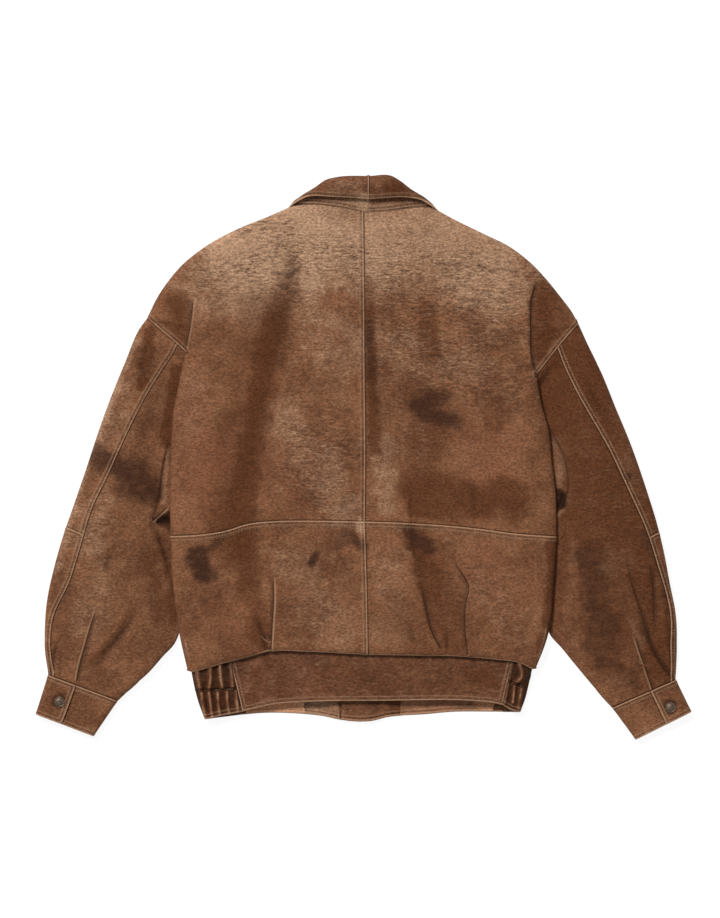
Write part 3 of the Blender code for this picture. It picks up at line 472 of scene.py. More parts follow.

# %% [markdown]
# Folds and creases are listed one by one. Each one is a line with a half width, a depth and a kind: a
# trough dips, a ridge stands proud, and a lap is a step where leather folds over leather, high on
# the named side. Troughs darken with painted shade and ridges lighten with a painted highlight; a
# lap gets a painted shadow on its low side and a painted highlight on its edge, and a crease is a
# lap without that highlight. fade says whether the start and the end die away. Sculpting by hand
# would do the same, but a list can be read and changed.

# %% Folds of the body
Fold = namedtuple("Fold", "kind wide deep fade line high", defaults=("left",))
Trough, Ridge, Lap, Crease = (partial(Fold, kind) for kind in ("trough", "ridge", "lap", "crease"))
BODY_FOLDS = [
    Trough(15, 2.4, (0, 1), [
        (-99, 285), (-107, 236), (-118, 173), (-130, 113), (-142, 54), (-158, 9), (-172, -38),
        (-188, -79), (-200, -125), (-209, -167),
    ]),
    Trough(12, 1.2, (1, 1), [(-164, 180), (-172, 124), (-178, 61), (-190, 5)]),
    Lap(3.5, 2.2, (0.5, 0), [(-237, 228), (-241, 191), (-248, 152)], "right"),
    Crease(3.5, 3.2, (0.5, 0), [(244, 256), (234, 225), (233, 180), (234, 144), (241, 116)]),
    Trough(6, 1.8, (1, 1), [(10, 243), (10, 166), (15, 96), (22, 54), (19, 14)]),
    Ridge(3, 0.7, (1, 1), [(13, 26), (22, -5), (24, -51), (27, -84)]),
    Crease(4, 1.6, (1, 1), [(64, -16), (65, -86), (69, -128), (76, -170)], "left"),
    Crease(3, 2.5, (1, 0.3), [(76, -163), (85, -202), (94, -240), (110, -272)], "left"),
    Trough(7, 0.9, (1, 1), [(209, -27), (211, -58), (209, -89)]),
    Trough(5, 0.9, (1, 1), [(149, -16), (155, -58), (149, -93)]),
    Lap(2.2, 2.8, (0.6, 0), [(-126, -159), (-125, -198), (-127, -233), (-129, -268)], "right"),
    Lap(1.5, 1.6, (1, 0.3), [(-146, -248), (-138, -255), (-130, -259)], "right"),
    Trough(13, 2, (0, 1), [(-160, -91), (-159, -128), (-153, -170), (-146, -215)]),
    Trough(3, 1.4, (1, 0), [(-152, -212), (-142, -243), (-134, -271)]),
    Trough(2.5, 1.2, (1, 1), [(-142, -254), (-134, -250), (-128, -254)]),
    Crease(1.6, 2.5, (1, 0), [
        (130, -111), (131, -149), (139, -161), (148, -182), (144, -198), (142, -233), (146, -273),
    ], "right"),
    Crease(1.4, 1.4, (1, 1), [(149, -184), (169, -187), (191, -199)], "right"),
    Trough(6, 1.4, (0, 1), [(79, -142), (83, -166), (88, -209), (99, -243), (108, -271)]),
    Trough(2.5, 1.2, (1, 0), [(117, -237), (117, -275)]),
    Trough(4, 0.9, (1, 1), [(172, -215), (162, -240), (158, -265)]),
    Ridge(5, 1, (1, 1), [(198, -142), (191, -184), (195, -226)]),
    Trough(10, 1, (1, 1), [(-222, -121), (-219, -170), (-225, -219)]),
    Trough(9, 1.1, (1, 1), [(-47, -142), (-64, -184), (-58, -233)]),
    Ridge(1.6, 1.8, (0.6, 0.8), [(-250, -246), (-246, -272), (-240, -292)]),
    Ridge(1.6, 1.8, (0.6, 0.8), [(257, -229), (250, -261), (240, -291)]),
]

# %% Folds of the sleeves and the hem band
SLEEVE_FOLDS = [
    Trough(6, 1.6, (1, 1), [(-298, 186), (-307, 155), (-310, 121), (-304, 91)]),
    Trough(8, 1.2, (1, 1), [(-285, 89), (-296, 54), (-313, 15)]),
    Trough(2.8, 1.4, (1, 1), [(-352, -122), (-359, -145), (-365, -167)]),
    Trough(5, 1.8, (1, 0.4), [(-316, -206), (-327, -229), (-341, -248), (-360, -273), (-380, -296)]),
    Lap(2.0, 2.6, (0.8, 0), [(-372, -203), (-382, -233), (-390, -261), (-397, -285), (-402, -310)]),
    Crease(2.0, 1.6, (1, 0.6), [(-317, -209), (-334, -234), (-355, -258), (-383, -283)]),
    Crease(2.0, 1.2, (1, 1), [(-342, -89), (-352, -128), (-363, -159)]),
    Crease(2.5, 2.0, (0.6, 0), [(-272, 32), (-282, -10), (-289, -58), (-297, -86)]),
    Lap(1.5, 2.4, (0.2, 0.2), [(-296, -89), (-286, -79), (-274, -68)], "right"),
    Crease(2.5, 1.4, (0.4, 1), [(-294, -96), (-285, -121), (-274, -163), (-265, -215)]),
    Trough(5, 3.0, (0.4, 0), [(-290, -89), (-281, -86), (-272, -86)]),
    Trough(4, 3.0, (0.5, 0.3), [(277, -46), (278, -58), (276, -72)]),
    Trough(2.5, 1.3, (1, 1), [(-411, -287), (-401, -276), (-391, -266)]),
    Trough(2.2, 1.6, (1, 0), [(-429, -254), (-433, -275), (-436, -299)]),
    Trough(2.2, 1.2, (1, 0), [(-422, -265), (-425, -285), (-425, -304)]),
    Trough(2, 1, (1, 1), [(-374, -313), (-363, -315), (-349, -327)]),
    Trough(2, 0.9, (1, 1), [(-369, -304), (-355, -313), (-342, -324)]),
    Trough(4, 1.4, (0, 1), [(-295, -91), (-285, -115), (-275, -142), (-267, -181)]),
    Ridge(9, 1.2, (1, 1), [(-344, -142), (-352, -184), (-369, -233)]),
    Crease(2.5, 1.9, (0.5, 0), [(260, 44), (274, 21), (285, -13), (286, -48), (272, -77)], "right"),
    Crease(1.6, 1.2, (0, 0.5), [(264, -40), (272, -44), (281, -42)], "right"),
    Trough(6, 1, (1, 1), [(314, 116), (326, 77), (342, 54)]),
    Trough(8, 1.2, (1, 1), [(340, 93), (356, 47), (370, 1)]),
    Ridge(7, 1, (1, 1), [(348, 82), (365, 32), (379, -10)]),
    Trough(6, 1.6, (1, 1), [(402, -142), (405, -184), (407, -233)]),
    Trough(4, 2, (1, 0), [(382, -201), (394, -243), (410, -275), (433, -306)]),
    Ridge(5, 1, (1, 1), [(370, -212), (384, -254), (398, -285)]),
    Lap(1.8, 2.4, (0.6, 0), [(377, -243), (386, -271), (394, -294), (404, -324)]),
    Crease(1.6, 1.6, (0.6, 0.6), [(377, -289), (388, -290), (401, -287)], "right"),
    Crease(3.0, 2.6, (1, 0.3), [(359, -121), (377, -184), (391, -226), (408, -275), (430, -309)]),
    Crease(1.8, 2.3, (1, 1), [(393, -121), (403, -170), (405, -215), (404, -262)]),
    Trough(2, 1, (1, 1), [(359, -310), (370, -304), (383, -299)]),
    Trough(2, 1, (1, 1), [(368, -324), (379, -313), (387, -315)]),
    Trough(9, 1.4, (1, 1), [(303, -142), (320, -198), (331, -254)]),
    Trough(6, 1, (1, 1), [(293, -86), (310, -121), (335, -150)]),
    Trough(3, 1, (1, 1), [(419, -142), (425, -184), (426, -233), (429, -282)]),
]
BAND_FOLDS = [
    Ridge(2.7, 3.4, (0, 0), [(-233, -288), (-232, -305), (-229, -322)]),
    Ridge(2.9, 3.8, (0, 0), [(-215, -285), (-214, -305), (-216, -322)]),
    Ridge(2.7, 3.8, (0, 0), [(-201, -282), (-200, -305), (-197, -322)]),
    Ridge(2.7, 3.4, (0, 0), [(-187, -279), (-184, -300), (-183, -320)]),
    Ridge(2.3, 3.0, (0, 0), [(-227, -327), (-225, -345), (-221, -365)]),
    Ridge(2.4, 3.4, (0, 0), [(-216, -327), (-214, -345), (-211, -364)]),
    Ridge(2.4, 3.4, (0, 0), [(-204, -327), (-203, -345), (-200, -362)]),
    Ridge(2.3, 3.2, (0, 0), [(-191, -326), (-190, -345), (-187, -360)]),
    Ridge(2.3, 3.0, (0, 0), [(-178, -325), (-177, -342), (-175, -358)]),
    Ridge(2.5, 3.0, (0, 0), [(208, -284), (203, -309), (197, -342)]),
    Ridge(2.7, 3.6, (0, 0), [(218, -285), (221, -305), (212, -315)]),
    Ridge(2.3, 3.0, (0, 0), [(211, -320), (210, -332), (209, -341)]),
    Ridge(2.3, 3.2, (0, 0), [(221, -321), (219, -336), (217, -351)]),
    Trough(2.4, 2.4, (1, 1), [(238, -298), (231, -309), (225, -319)]),
    Trough(1.6, 2.4, (0, 0), [(-240, -324), (-210, -324), (-180, -322)]),
    Trough(1.6, 2.4, (0, 0), [(201, -311), (212, -315), (226, -320)]),
]
# On the hidden front, similar soft folds run down from the shoulders and up from the hem band.
UNDER_FOLDS = [
    Trough(14, 1.2, (1, 1), [(-130, 250), (-150, 120), (-165, -20), (-150, -160)]),
    Trough(14, 1.2, (1, 1), [(128, 250), (150, 110), (160, -40), (148, -170)]),
    Trough(6, 1.0, (1, 0), [(-110, -180), (-105, -230), (-112, -290)]),
    Trough(6, 1.0, (1, 0), [(112, -170), (104, -230), (110, -290)]),
    Trough(7, 1.0, (1, 1), [(-330, 30), (-350, -60), (-360, -150)]),
    Trough(7, 1.0, (1, 1), [(330, 30), (350, -60), (365, -150)]),
    Trough(5, 1.0, (1, 1), [(-330, -200), (-360, -240), (-390, -280)]),
    Trough(5, 1.0, (1, 1), [(330, -200), (360, -240), (392, -280)]),
]
print("folds", len(BODY_FOLDS) + len(SLEEVE_FOLDS) + len(BAND_FOLDS) + len(UNDER_FOLDS))

# %% [markdown]
# Stains and wear are strokes too: a half width, a strength and a line. Dark ones are oil and water
# marks, and painted shadow in the underarm pockets and round the cuff snaps. Brown ones are partly
# where the dye is still deep and partly painted shade: along folds, on the sides that turn from the
# light, and on the right of the facing. Light ones are where the nap has rubbed off, and painted
# light on the collar stand and the facing. Red ones are where the dye has shifted, and flecks are
# the fields of small dark scuffs.

# %% Stains, wear and painted shade
BODY_MARKS = {
    "dark": [
        (19, 1.0, [(-229, -137), (-222, -160)]), (8, 0.6, [(-195, -103), (-211, -125)]),
        (13, 0.8, [(72, 74), (92, 62), (128, 54)]), (13, 0.65, [(112, 88), (92, 80)]),
        (26, 0.35, [(74, 94), (112, 68)]), (14, 0.85, [(66, -100), (72, -116), (90, -121)]),
        (7, 0.9, [(-66, -135), (-71, -146)]), (7, 0.45, [(-54, -212), (-58, -223)]),
        (11, 0.5, [(-24, -105), (-34, -121)]), (10, 0.8, [(-10, -115), (-1, -121)]),
        (7, 0.45, [(-227, -198), (-223, -201)]), (6, 0.45, [(-204, -192), (-201, -194)]),
        (6, 0.4, [(110, 272), (142, 273)]), (5, 0.3, [(116, 262), (124, 250)]),
        (6, 0.3, [(150, 269), (214, 262)]), (4, 0.4, [(-102, 275), (-99, 259), (-108, 242)]),
        (4, 0.5, [(-127, 261), (-103, 256), (-89, 267)]), (11, 0.35, [(-82, -55), (-58, -61)]),
        (7, 0.4, [(65, -243), (69, -254)]),
    ],
    "brown": [
        # These strokes down the left of the back are partly deep dye and partly painted shade of the
        # long fold there.
        (16, 0.35, [(-97, 282), (-108, 222)]), (22, 0.5, [(-114, 228), (-126, 180)]),
        (21, 0.85, [
            (-128, 190), (-137, 150), (-143, 110), (-146, 78), (-156, 36), (-163, -10), (-172, -60),
        ]),
        (50, 0.42, [(-140, 190), (-152, 110), (-160, 40), (-174, -40), (-188, -90)]),
        (27, 0.62, [(-176, -70), (-177, -98), (-182, -128)]),
        (17, 0.65, [(-168, -108), (-160, -156), (-154, -205), (-144, -250)]),
        (60, 0.22, [(-150, -140), (-20, -190), (120, -200), (210, -170)]),
        (17, 0.35, [(-47, 343), (-10, 337)]), (8, 0.4, [(8, 250), (9, 200)]),
        (9, 0.8, [(8, 204), (9, 150), (11, 82), (17, 12)]), (20, 0.3, [(18, 200), (22, 82), (28, 12)]),
        (20, 0.75, [(86, 208), (90, 152)]), (36, 0.55, [(79, 82), (90, 26), (86, -30)]),
        (36, 0.85, [(79, -54), (135, -62), (195, -60)]), (20, 0.9, [(76, -107), (85, -142), (93, -184)]),
        (28, 0.5, [(107, -142), (128, -254)]), (22, 0.5, [(198, 89), (184, 54)]),
        # Painted shade: these strokes high on both sides, and the narrow one low on the right, darken
        # the edges of the body that turn away from the light.
        (17, 0.85, [(248, 229), (248, 187), (247, 149)]), (25, 0.5, [(270, 222), (275, 180)]),
        (17, 0.65, [(-255, 222), (-254, 159)]), (28, 0.35, [(-278, 222), (-271, 194)]),
        (34, 0.3, [(-208, -198), (-173, -261)]), (11, 0.75, [(264, -121), (262, -198), (253, -261)]),
        (42, 0.35, [(44, -219), (93, -254)]),
    ],
    "light": [
        (64, 0.95, [(-160, 292), (-64, 326)]), (62, 0.65, [(30, 326), (121, 317), (191, 278)]),
        (42, 0.45, [(-60, 275), (-12, 262)]), (44, 0.4, [(30, 276), (120, 258), (190, 232)]),
        (60, 0.14, [(60, 215), (200, 190)]), (48, 0.45, [(-222, 243), (-159, 222)]),
        (42, 0.3, [(-89, 222), (-26, 138)]), (36, 0.25, [(30, 159), (149, 124)]),
        (39, 0.35, [(-110, 54), (-26, -65)]), (20, 0.4, [(29, 26), (31, -65)]),
        (42, 0.25, [(-103, -142), (-26, -254)]), (34, 0.25, [(30, -142), (44, -240)]),
        (36, 0.18, [(165, -190), (220, -240)]), (28, 0.25, [(-236, 110), (-243, 40)]),
        (6, 0.75, [(-4, -91), (-4, -100)]),
    ],
    "red": [
        (34, 0.5, [(-240, 82), (-232, -16)]), (18, 0.7, [(-205, 22), (-202, -13)]),
        (48, 0.3, [(-208, -58), (-103, -16)]), (31, 0.4, [(121, 47), (191, 26), (177, -16)]),
        (34, 0.35, [(163, -142), (219, -184)]), (36, 0.3, [(-208, -212), (-159, -254)]),
    ],
    "fleck": [
        (22, 0.9, [(-166, 323), (-110, 323)]), (20, 0.8, [(-173, 275), (-110, 292)]),
        (34, 0.9, [(-75, 285), (-19, 281)]), (28, 0.7, [(-208, 250), (-103, 243)]),
        (56, 0.75, [(65, 267), (212, 250)]), (60, 0.75, [(51, 190), (191, 190)]),
        (50, 0.55, [(60, 110), (190, 100)]), (31, 0.7, [(-89, 26), (-16, 12)]),
        (31, 0.6, [(-103, -30), (-26, -51)]), (42, 0.5, [(72, 26), (107, 110)]),
        (42, 0.4, [(-89, 180), (-47, 82)]), (56, 0.3, [(-89, -198), (191, -184)]),
    ],
}
SLEEVE_MARKS = {
    "dark": [
        (11, 0.5, [(392, -105), (414, -150), (429, -200), (433, -260)]),
        # Painted shadow: the strokes in the two underarm pockets, near (-280, -88) and (275, -57), and
        # the rings round the cuff snaps. The rest are oil and water marks.
        (5, 1.0, [(-288, -86), (-280, -82), (-272, -76)]), (6, 0.8, [(-284, -91), (-271, -97)]),
        (22, 0.85, [(-373, 1), (-345, -6)]), (24, 0.8, [(-318, -24), (-299, -40)]),
        (17, 0.45, [(-338, -47), (-299, -58)]), (9, 1.0, [(-283, -84), (-272, -88)]),
        (9, 1.0, [(275, -50), (276, -64)]), (6, 0.8, [(368, -24), (370, -27)]),
        (12, 1.0, [(-425, -340), (-424, -340)]), (12, 1.0, [(429, -348), (430, -348)]),
        (32, 0.62, [(316, -142), (330, -198), (338, -262)]), (20, 0.5, [(340, -300), (376, -303)]),
    ],
    "brown": [
        (9, 0.7, [(383, -125), (396, -180), (408, -240)]), (28, 0.18, [(375, -365), (430, -335)]),
        # The strokes at the left armhole and along the left underarm fold, and those at the right armpit
        # and along the right underarm, are painted shade; the broad one down the right sleeve is partly
        # deep dye and partly painted shade.
        (10, 0.85, [(-260, 124), (-270, 75), (-278, 23)]),
        (10, 0.7, [(-299, 180), (-303, 138), (-309, 103)]),
        (11, 0.6, [(-281, -111), (-271, -156), (-264, -226)]), (17, 0.4, [(-302, -142), (-285, -212)]),
        (7, 0.45, [(-320, -212), (-352, -255), (-380, -282)]),
        (84, 0.9, [(275, 159), (324, 40), (359, -86), (378, -180), (384, -232)]),
        (36, 0.55, [(328, -142), (334, -268)]), (17, 0.7, [(254, 93), (260, 54)]),
        (11, 0.6, [(282, -86), (278, -142), (270, -226)]), (6, 0.7, [(401, -149), (402, -254)]),
        (11, 0.6, [(408, -268), (422, -299)]),
    ],
    "light": [
        (4.5, 0.4, [(-274, 12), (-278, -30), (-281, -62)]),
        (3.5, 0.9, [(272, -79), (282, -68), (286, -50)]), (9, 0.42, [(270, 26), (276, -5), (275, -34)]),
        (7, 0.4, [(-318, 166), (-352, 89), (-380, 12), (-408, -79), (-429, -156)]),
        (36, 0.25, [(-341, 82), (-362, 26)]), (31, 0.3, [(-369, -58), (-390, -121)]),
        (34, 0.25, [(-369, -156), (-380, -233)]), (13, 0.4, [(368, -5), (387, -55)]),
        (12, 0.3, [(352, -160), (373, -205), (392, -261)]),
        (14, 0.25, [(362, -190), (372, -225), (379, -268)]),
    ],
    "fleck": [
        (56, 0.35, [(-369, -2), (-383, -198)]), (56, 0.3, [(331, 54), (387, -198)]),
    ],
}
BAND_MARKS = {
    "brown": [
        (31, 0.85, [(-220, -324), (-198, -346)]), (20, 0.85, [(222, -317), (209, -341)]),
        (7, 0.7, [(-136, -276), (-130, -289)]), (8, 0.5, [(-111, -293), (-120, -335)]),
        (11, 0.5, [(169, -296), (186, -315)]), (34, 0.4, [(-47, -310), (149, -310)]),
        (12, 0.55, [(150, -300), (176, -312)]), (9, 0.6, [(-148, -300), (-156, -338)]),
    ],
    "red": [
        (34, 0.3, [(-159, -324), (-47, -324)]),
    ],
    "fleck": [
        (62, 0.35, [(-150, -310), (177, -313)]),
    ],
}
# The facing's marks are painted light and shade: lighter at the left, where the back band's shadow falls
# on it, and darker at the right.
FACING_PAINTED_LIGHT_AND_SHADE = {
    "brown": [
        (30, 0.75, [(62, -345), (135, -345)]), (40, 0.3, [(155, -345), (185, -345)]),
    ],
    "light": [
        (26, 0.4, [(-80, -340), (-78, -360)]), (26, 0.4, [(-48, -340), (-48, -360)]),
    ],
}
COLLAR_MARKS = {
    "brown": [
        (14, 0.7, [(38, 378), (52, 374)]), (12, 0.4, [(-60, 372), (-70, 366)]),
    ],
    "light": [
        # The strokes along the stand and down its middle are partly the stand's lighter leather and
        # partly painted light against the shadow of the leaf.
        (9, 0.4, [(-90, 356), (-40, 356), (0, 350), (40, 352), (90, 354)]),
        (11, 0.7, [(0, 360), (0, 346)]), (20, 0.25, [(-40, 378), (-5, 376)]),
    ],
}
UNDER_MARKS = {
    "brown": [
        (30, 0.6, [(-90, 120), (-110, 20)]), (26, 0.6, [(120, -60), (140, -160)]),
    ],
    "light": [
        (40, 0.5, [(-150, 290), (-200, 240)]), (40, 0.5, [(150, 285), (205, 235)]),
    ],
    "fleck": [
        (90, 0.5, [(-150, 60), (150, -100)]), (60, 0.5, [(-380, -60), (-380, -200)]),
        (60, 0.5, [(380, -60), (380, -200)]),
    ],
}

# %% [markdown]
# Leather between the big folds is never smooth. Value noise is a grid of random numbers with soft
# steps between them; it is seeded, so it is the same each run. along() measures how far points lie
# from a line, which the folds, the stains and the seams all need.

# %% Noise and distance
def noise(x, y, wide, tall, seed):
    """Soft random heights from -1 to 1, with bumps of this size."""
    table = np.random.RandomState(seed).uniform(-1, 1, (64, 64))
    u, w = x / wide + 17.3, y / tall + 9.1
    i, j = np.floor(u).astype(int), np.floor(w).astype(int)
    a, b = ease(u - i), ease(w - j)
    i, j = i % 64, j % 64
    k, m = (i + 1) % 64, (j + 1) % 64
    low = table[i, j] * (1 - a) + table[k, j] * a
    high = table[i, m] * (1 - a) + table[k, m] * a
    return low * (1 - b) + high * b


def line_through(points, count=28):
    """Points close together on a smooth line."""
    return smooth_curve(points)(np.linspace(0, 1, count))


def along(xy, line):
    """Distance from a line seen from above, signed by its side, and the share of it passed."""
    xy = xy.reshape(-1, 2)
    steps = np.linalg.norm(np.diff(line, axis=0), axis=1)
    passed = np.concatenate([[0.0], np.cumsum(steps)])
    best = np.full(len(xy), 1e9)
    side = np.ones(len(xy))
    share = np.zeros(len(xy))
    for a, b, step, start in zip(line[:-1], line[1:], steps, passed[:-1]):
        rel = xy - a
        t = np.clip(rel @ (b - a) / step**2, 0, 1)
        off = rel - t[:, None] * (b - a)
        distance = np.hypot(off[:, 0], off[:, 1])
        closer = distance < best
        best = np.where(closer, distance, best)
        turn = (b - a)[0] * rel[:, 1] - (b - a)[1] * rel[:, 0]
        side = np.where(closer, np.where(turn > 0, 1.0, -1.0), side)
        share = np.where(closer, (start + t * step) / passed[-1], share)
    return best, side, share


def near_line(xy, points, reach, count=28):
    """The points within reach of the line's box, and what along() says of them."""
    line = line_through(points, count)
    low, high = line.min(axis=0) - reach, line.max(axis=0) + reach
    flat = xy.reshape(-1, 2)
    inside = np.flatnonzero(((flat > low) & (flat < high)).all(axis=1))
    return inside, along(flat[inside], line) if len(inside) else None


# %% Height and painted shade of the folds
def fold_shapes(xy, folds):
    """For each point its height, its painted shading, and its distance from an edge that laps over,
    with how dark the painted shadow beside that edge is and how strong the painted highlight on its
    crest. The distance is positive on the upper leather."""
    count = xy.reshape(-1, 2).shape[0]
    heights, painted_shading, clear, crest = (np.zeros(count) for _ in range(4))
    lap = np.full(count, 20.0)
    for fold in folds:
        steps = fold.kind in ("lap", "crease")
        reach = 6 * fold.wide if steps else 2.2 * fold.wide
        inside, found = near_line(xy, fold.line, reach + 12)
        if found is None:
            continue
        distance, side, share = found
        start, end = fold.fade
        strength = np.ones(len(distance))
        if start:
            strength *= ease(share / (0.35 * start))
        if end:
            strength *= ease((1 - share) / (0.35 * end))
        if steps:
            run = np.asarray(fold.line[-1]) - np.asarray(fold.line[0])
            towards = 1.0 if (fold.high == "right") == (run[1] < 0) else -1.0
            at = side * towards * distance
            step = ease(at / 2.6 + 0.5)
            shape = step * np.exp(-np.maximum(at, 0) / (3.2 * fold.wide))
            shape -= 0.35 * (1 - step) * np.exp(-np.maximum(-at, 0) / (1.8 * fold.wide))
            shape *= ease((reach - distance) / (0.4 * reach))
            beyond = (share <= 0) | (share >= 1)
            # How strong the painted shadow below the lap's edge and the painted highlight on its crest
            # are.
            edge = strength * min(1.0, fold.deep / 2.8) ** 1.6 * ease((10 - distance) / 4)
            edge *= np.where(beyond, ease(1 - distance / 3), 1)
            nearest = distance < np.abs(lap[inside])
            lap[inside] = np.where(nearest, at, lap[inside])
            clear[inside] = np.where(nearest, edge, clear[inside])
            crest[inside] = np.where(nearest, edge * (fold.kind == "lap"), crest[inside])
        else:
            q = np.clip(distance / (2.0 * fold.wide), 0, 1)
            shape = (1 - q * q) ** 2
            if fold.kind == "trough":
                shape = -shape
            # Painted shade in a trough and a painted highlight on a ridge, fainter for broad folds.
            painted_shading[inside] += strength * shape * min(1.0, fold.deep / 2.6) * min(1.0, 4.5 / fold.wide)
        heights[inside] += 1.25 * fold.deep * strength * shape
    return [values.reshape(xy.shape[:-1]) for values in (heights, painted_shading, lap, clear, crest)]


def crumple(xy, rough=1.0):
    """The small unevenness of worn leather, in mm."""
    x, y = xy[..., 0], xy[..., 1]
    broad = 0.9 * noise(x, y, 75, 95, 1) + 0.5 * noise(x + 0.3 * y, y, 34, 46, 2)
    middle = 0.26 * noise(x - 0.2 * y, y + 0.2 * x, 17, 14, 3)
    fine = 0.13 * noise(x, y + 0.1 * x, 9, 5.5, 4)
    across = ease((noise(x, y, 60, 40, 5) + 0.3) / 0.9) * 0.2 * noise(x, y, 16, 4.2, 6)
    return rough * (broad + middle + fine + across)


# %% Strength of the marks
def mark_strength(xy, marks):
    """How strong these marks are at each point, from 0 to 1."""
    flat = xy.reshape(-1, 2)
    total = np.zeros(len(flat))
    for wide, strength, line in marks:
        inside, found = near_line(xy, line, 1.8 * wide)
        if found is None:
            continue
        x, y = flat[inside].T
        ragged = 0.30 * noise(x, y, 0.7 * wide + 3, 0.8 * wide + 3, 7)
        ragged += 0.16 * noise(x, y, 6, 6, 8)
        here = ease(1.35 - found[0] / wide - ragged)
        total[inside] = 1 - (1 - total[inside]) * (1 - strength * here)
    return total.reshape(xy.shape[:-1])


# %% [markdown]
# A seam is where a maker joins two pieces. One piece keeps both seam allowances under it, so its
# edge stands higher and gets rubbed light; the other dips, and the line beside it gets a painted
# shadow. Each panel is told which of its edges are high and which are low. The distance to them is
# kept on the mesh, so that the material can draw the worn ridge and the painted shadow exactly where
# the seam is.

# %% Seam lines
FAR = 60.0


def waist_line():
    """The waist seam from the left side to the right one."""
    return [*WAIST["left"][::-1], *WAIST["right"][1:]]


def cuff_line(side, share):
    """A line across the cuff, this share of the way from its seam to its bottom edge."""
    inner_start, outer_start, inner_end, outer_end = (np.array(p) for p in CUFF[side])
    a = inner_start * (1 - share) + inner_end * share
    b = outer_start * (1 - share) + outer_end * share
    return [tuple(a), tuple((a + b) / 2), tuple(b)]


def tab_line(side):
    """The edge of the cuff's tab, from the seam to the bottom edge."""
    ends = []
    for share, place in zip((0.0, 1.0), TAB_EDGE):
        inner, _, outer = cuff_line(side, share)
        ends.append(tuple(np.array(inner) * (1 - place) + np.array(outer) * place))
    return [ends[0], tuple((np.array(ends[0]) + ends[1]) / 2), ends[1]]


def seam_distance(xy, lines):
    """The distance to the nearest of these lines, or FAR when none is near."""
    best = np.full(xy.reshape(-1, 2).shape[0], FAR)
    for points in lines:
        inside, found = near_line(xy, points, 30, 60)
        if found is not None:
            best[inside] = np.minimum(best[inside], found[0])
    return best.reshape(xy.shape[:-1])


def seam_height(high, low, xy):
    """The step of a seam: a padded edge on one side of it and a dip on the other."""
    bumps = 0.22 * noise(xy[..., 0], xy[..., 1], 5.5, 5.5, 9) * np.exp(-((high - 6) / 6) ** 2)
    raised = 0.95 * (1 - ease((high - 5.5) / 3.5))
    rounded = -0.8 * (1 - np.sqrt(1 - (1 - np.clip(high / 1.3, 0, 1)) ** 2))
    groove = -0.28 * np.exp(-((high - 4.2) / 0.9) ** 2)
    dip = -0.6 * (1 - ease(low / 2.2)) - 0.3 * np.exp(-((low - 8) / 7) ** 2)
    return np.where(high < 15, raised + rounded + groove + bumps, 0) + np.where(low < 25, dip, 0)


# %% [markdown]
# Every sheet of leather is a bmesh grid whose points are set by formula. A copy of the solid could
# be subdivided instead, but its flat facets would show through. The grid is finer beside a seam, so
# that the rolled edge and the stitch groove are real shape. Solidify then gives it its wall.

# %% Sheets of leather
SURFACES = []
SHEETS = []
FINE = np.array([0, 0.45, 0.9, 1.5, 2.3, 3.2, 4.2, 5.2, 6.6, 8.4])
TUCKED = np.concatenate([[-7, -4.5, -2.6, -1.5, -0.8, -0.3], FINE[1:]])
TUCK = 1.9
TUCK_SLOPE = 1.3
WELL_INSIDE = 9.0
LOWEST = 0.1
MARK_KINDS = ("dark", "brown", "light", "red", "fleck")
LAYERS = (*MARK_KINDS, "ridge", "gap", "shade", "lap", "clear", "crest")


def new_object(name, data):
    """An object with this data, linked to the scene."""
    made = bpy.data.objects.new(name, data)
    bpy.context.scene.collection.objects.link(made)
    return made


def mesh_from(name, shape):
    """A mesh with the geometry of this bmesh, which is freed."""
    mesh = bpy.data.meshes.new(name)
    shape.to_mesh(mesh)
    shape.free()
    return mesh


def grid_mesh(name, placed, layers):
    """A grid with its points at these places, and one value of each layer for every point."""
    rows, columns = placed.shape[:2]
    shape = bmesh.new()
    bmesh.ops.create_grid(shape, x_segments=columns - 1, y_segments=rows - 1, size=1)
    mesh = mesh_from(name, shape)
    corners = np.empty(len(mesh.vertices) * 3)
    mesh.vertices.foreach_get("co", corners)
    corners = corners.reshape(-1, 3)
    i = np.rint((corners[:, 0] + 1) / 2 * (columns - 1)).astype(int)
    j = np.rint((corners[:, 1] + 1) / 2 * (rows - 1)).astype(int)
    mesh.vertices.foreach_set("co", ((placed[j, i] - CENTRE) * MM).ravel())
    mesh.update()
    for key in LAYERS:
        layer = mesh.attributes.new(key, "FLOAT", "POINT")
        layer.data.foreach_set("value", layers[key][j, i].astype(np.float32))
    mesh.shade_smooth()
    return mesh


def outward_normals(points, middle):
    """Unit normals of the grid, turned away from the middle height."""
    rows = np.gradient(points, axis=0)
    columns = np.gradient(points, axis=1)
    normal = np.cross(columns, rows)
    length = np.linalg.norm(normal, axis=-1, keepdims=True)
    normal = normal / np.maximum(length, 1e-9)
    facing = (normal[..., 2] * length[..., 0] * (points[..., 2] - middle)).sum()
    return normal if facing > 0 else -normal


# %% One sheet of leather
SEAM_FLAT = 6.0
FLATTEST = 0.25
SHADE_SPAN = 4.5
WORN_WIDTH = 2.4


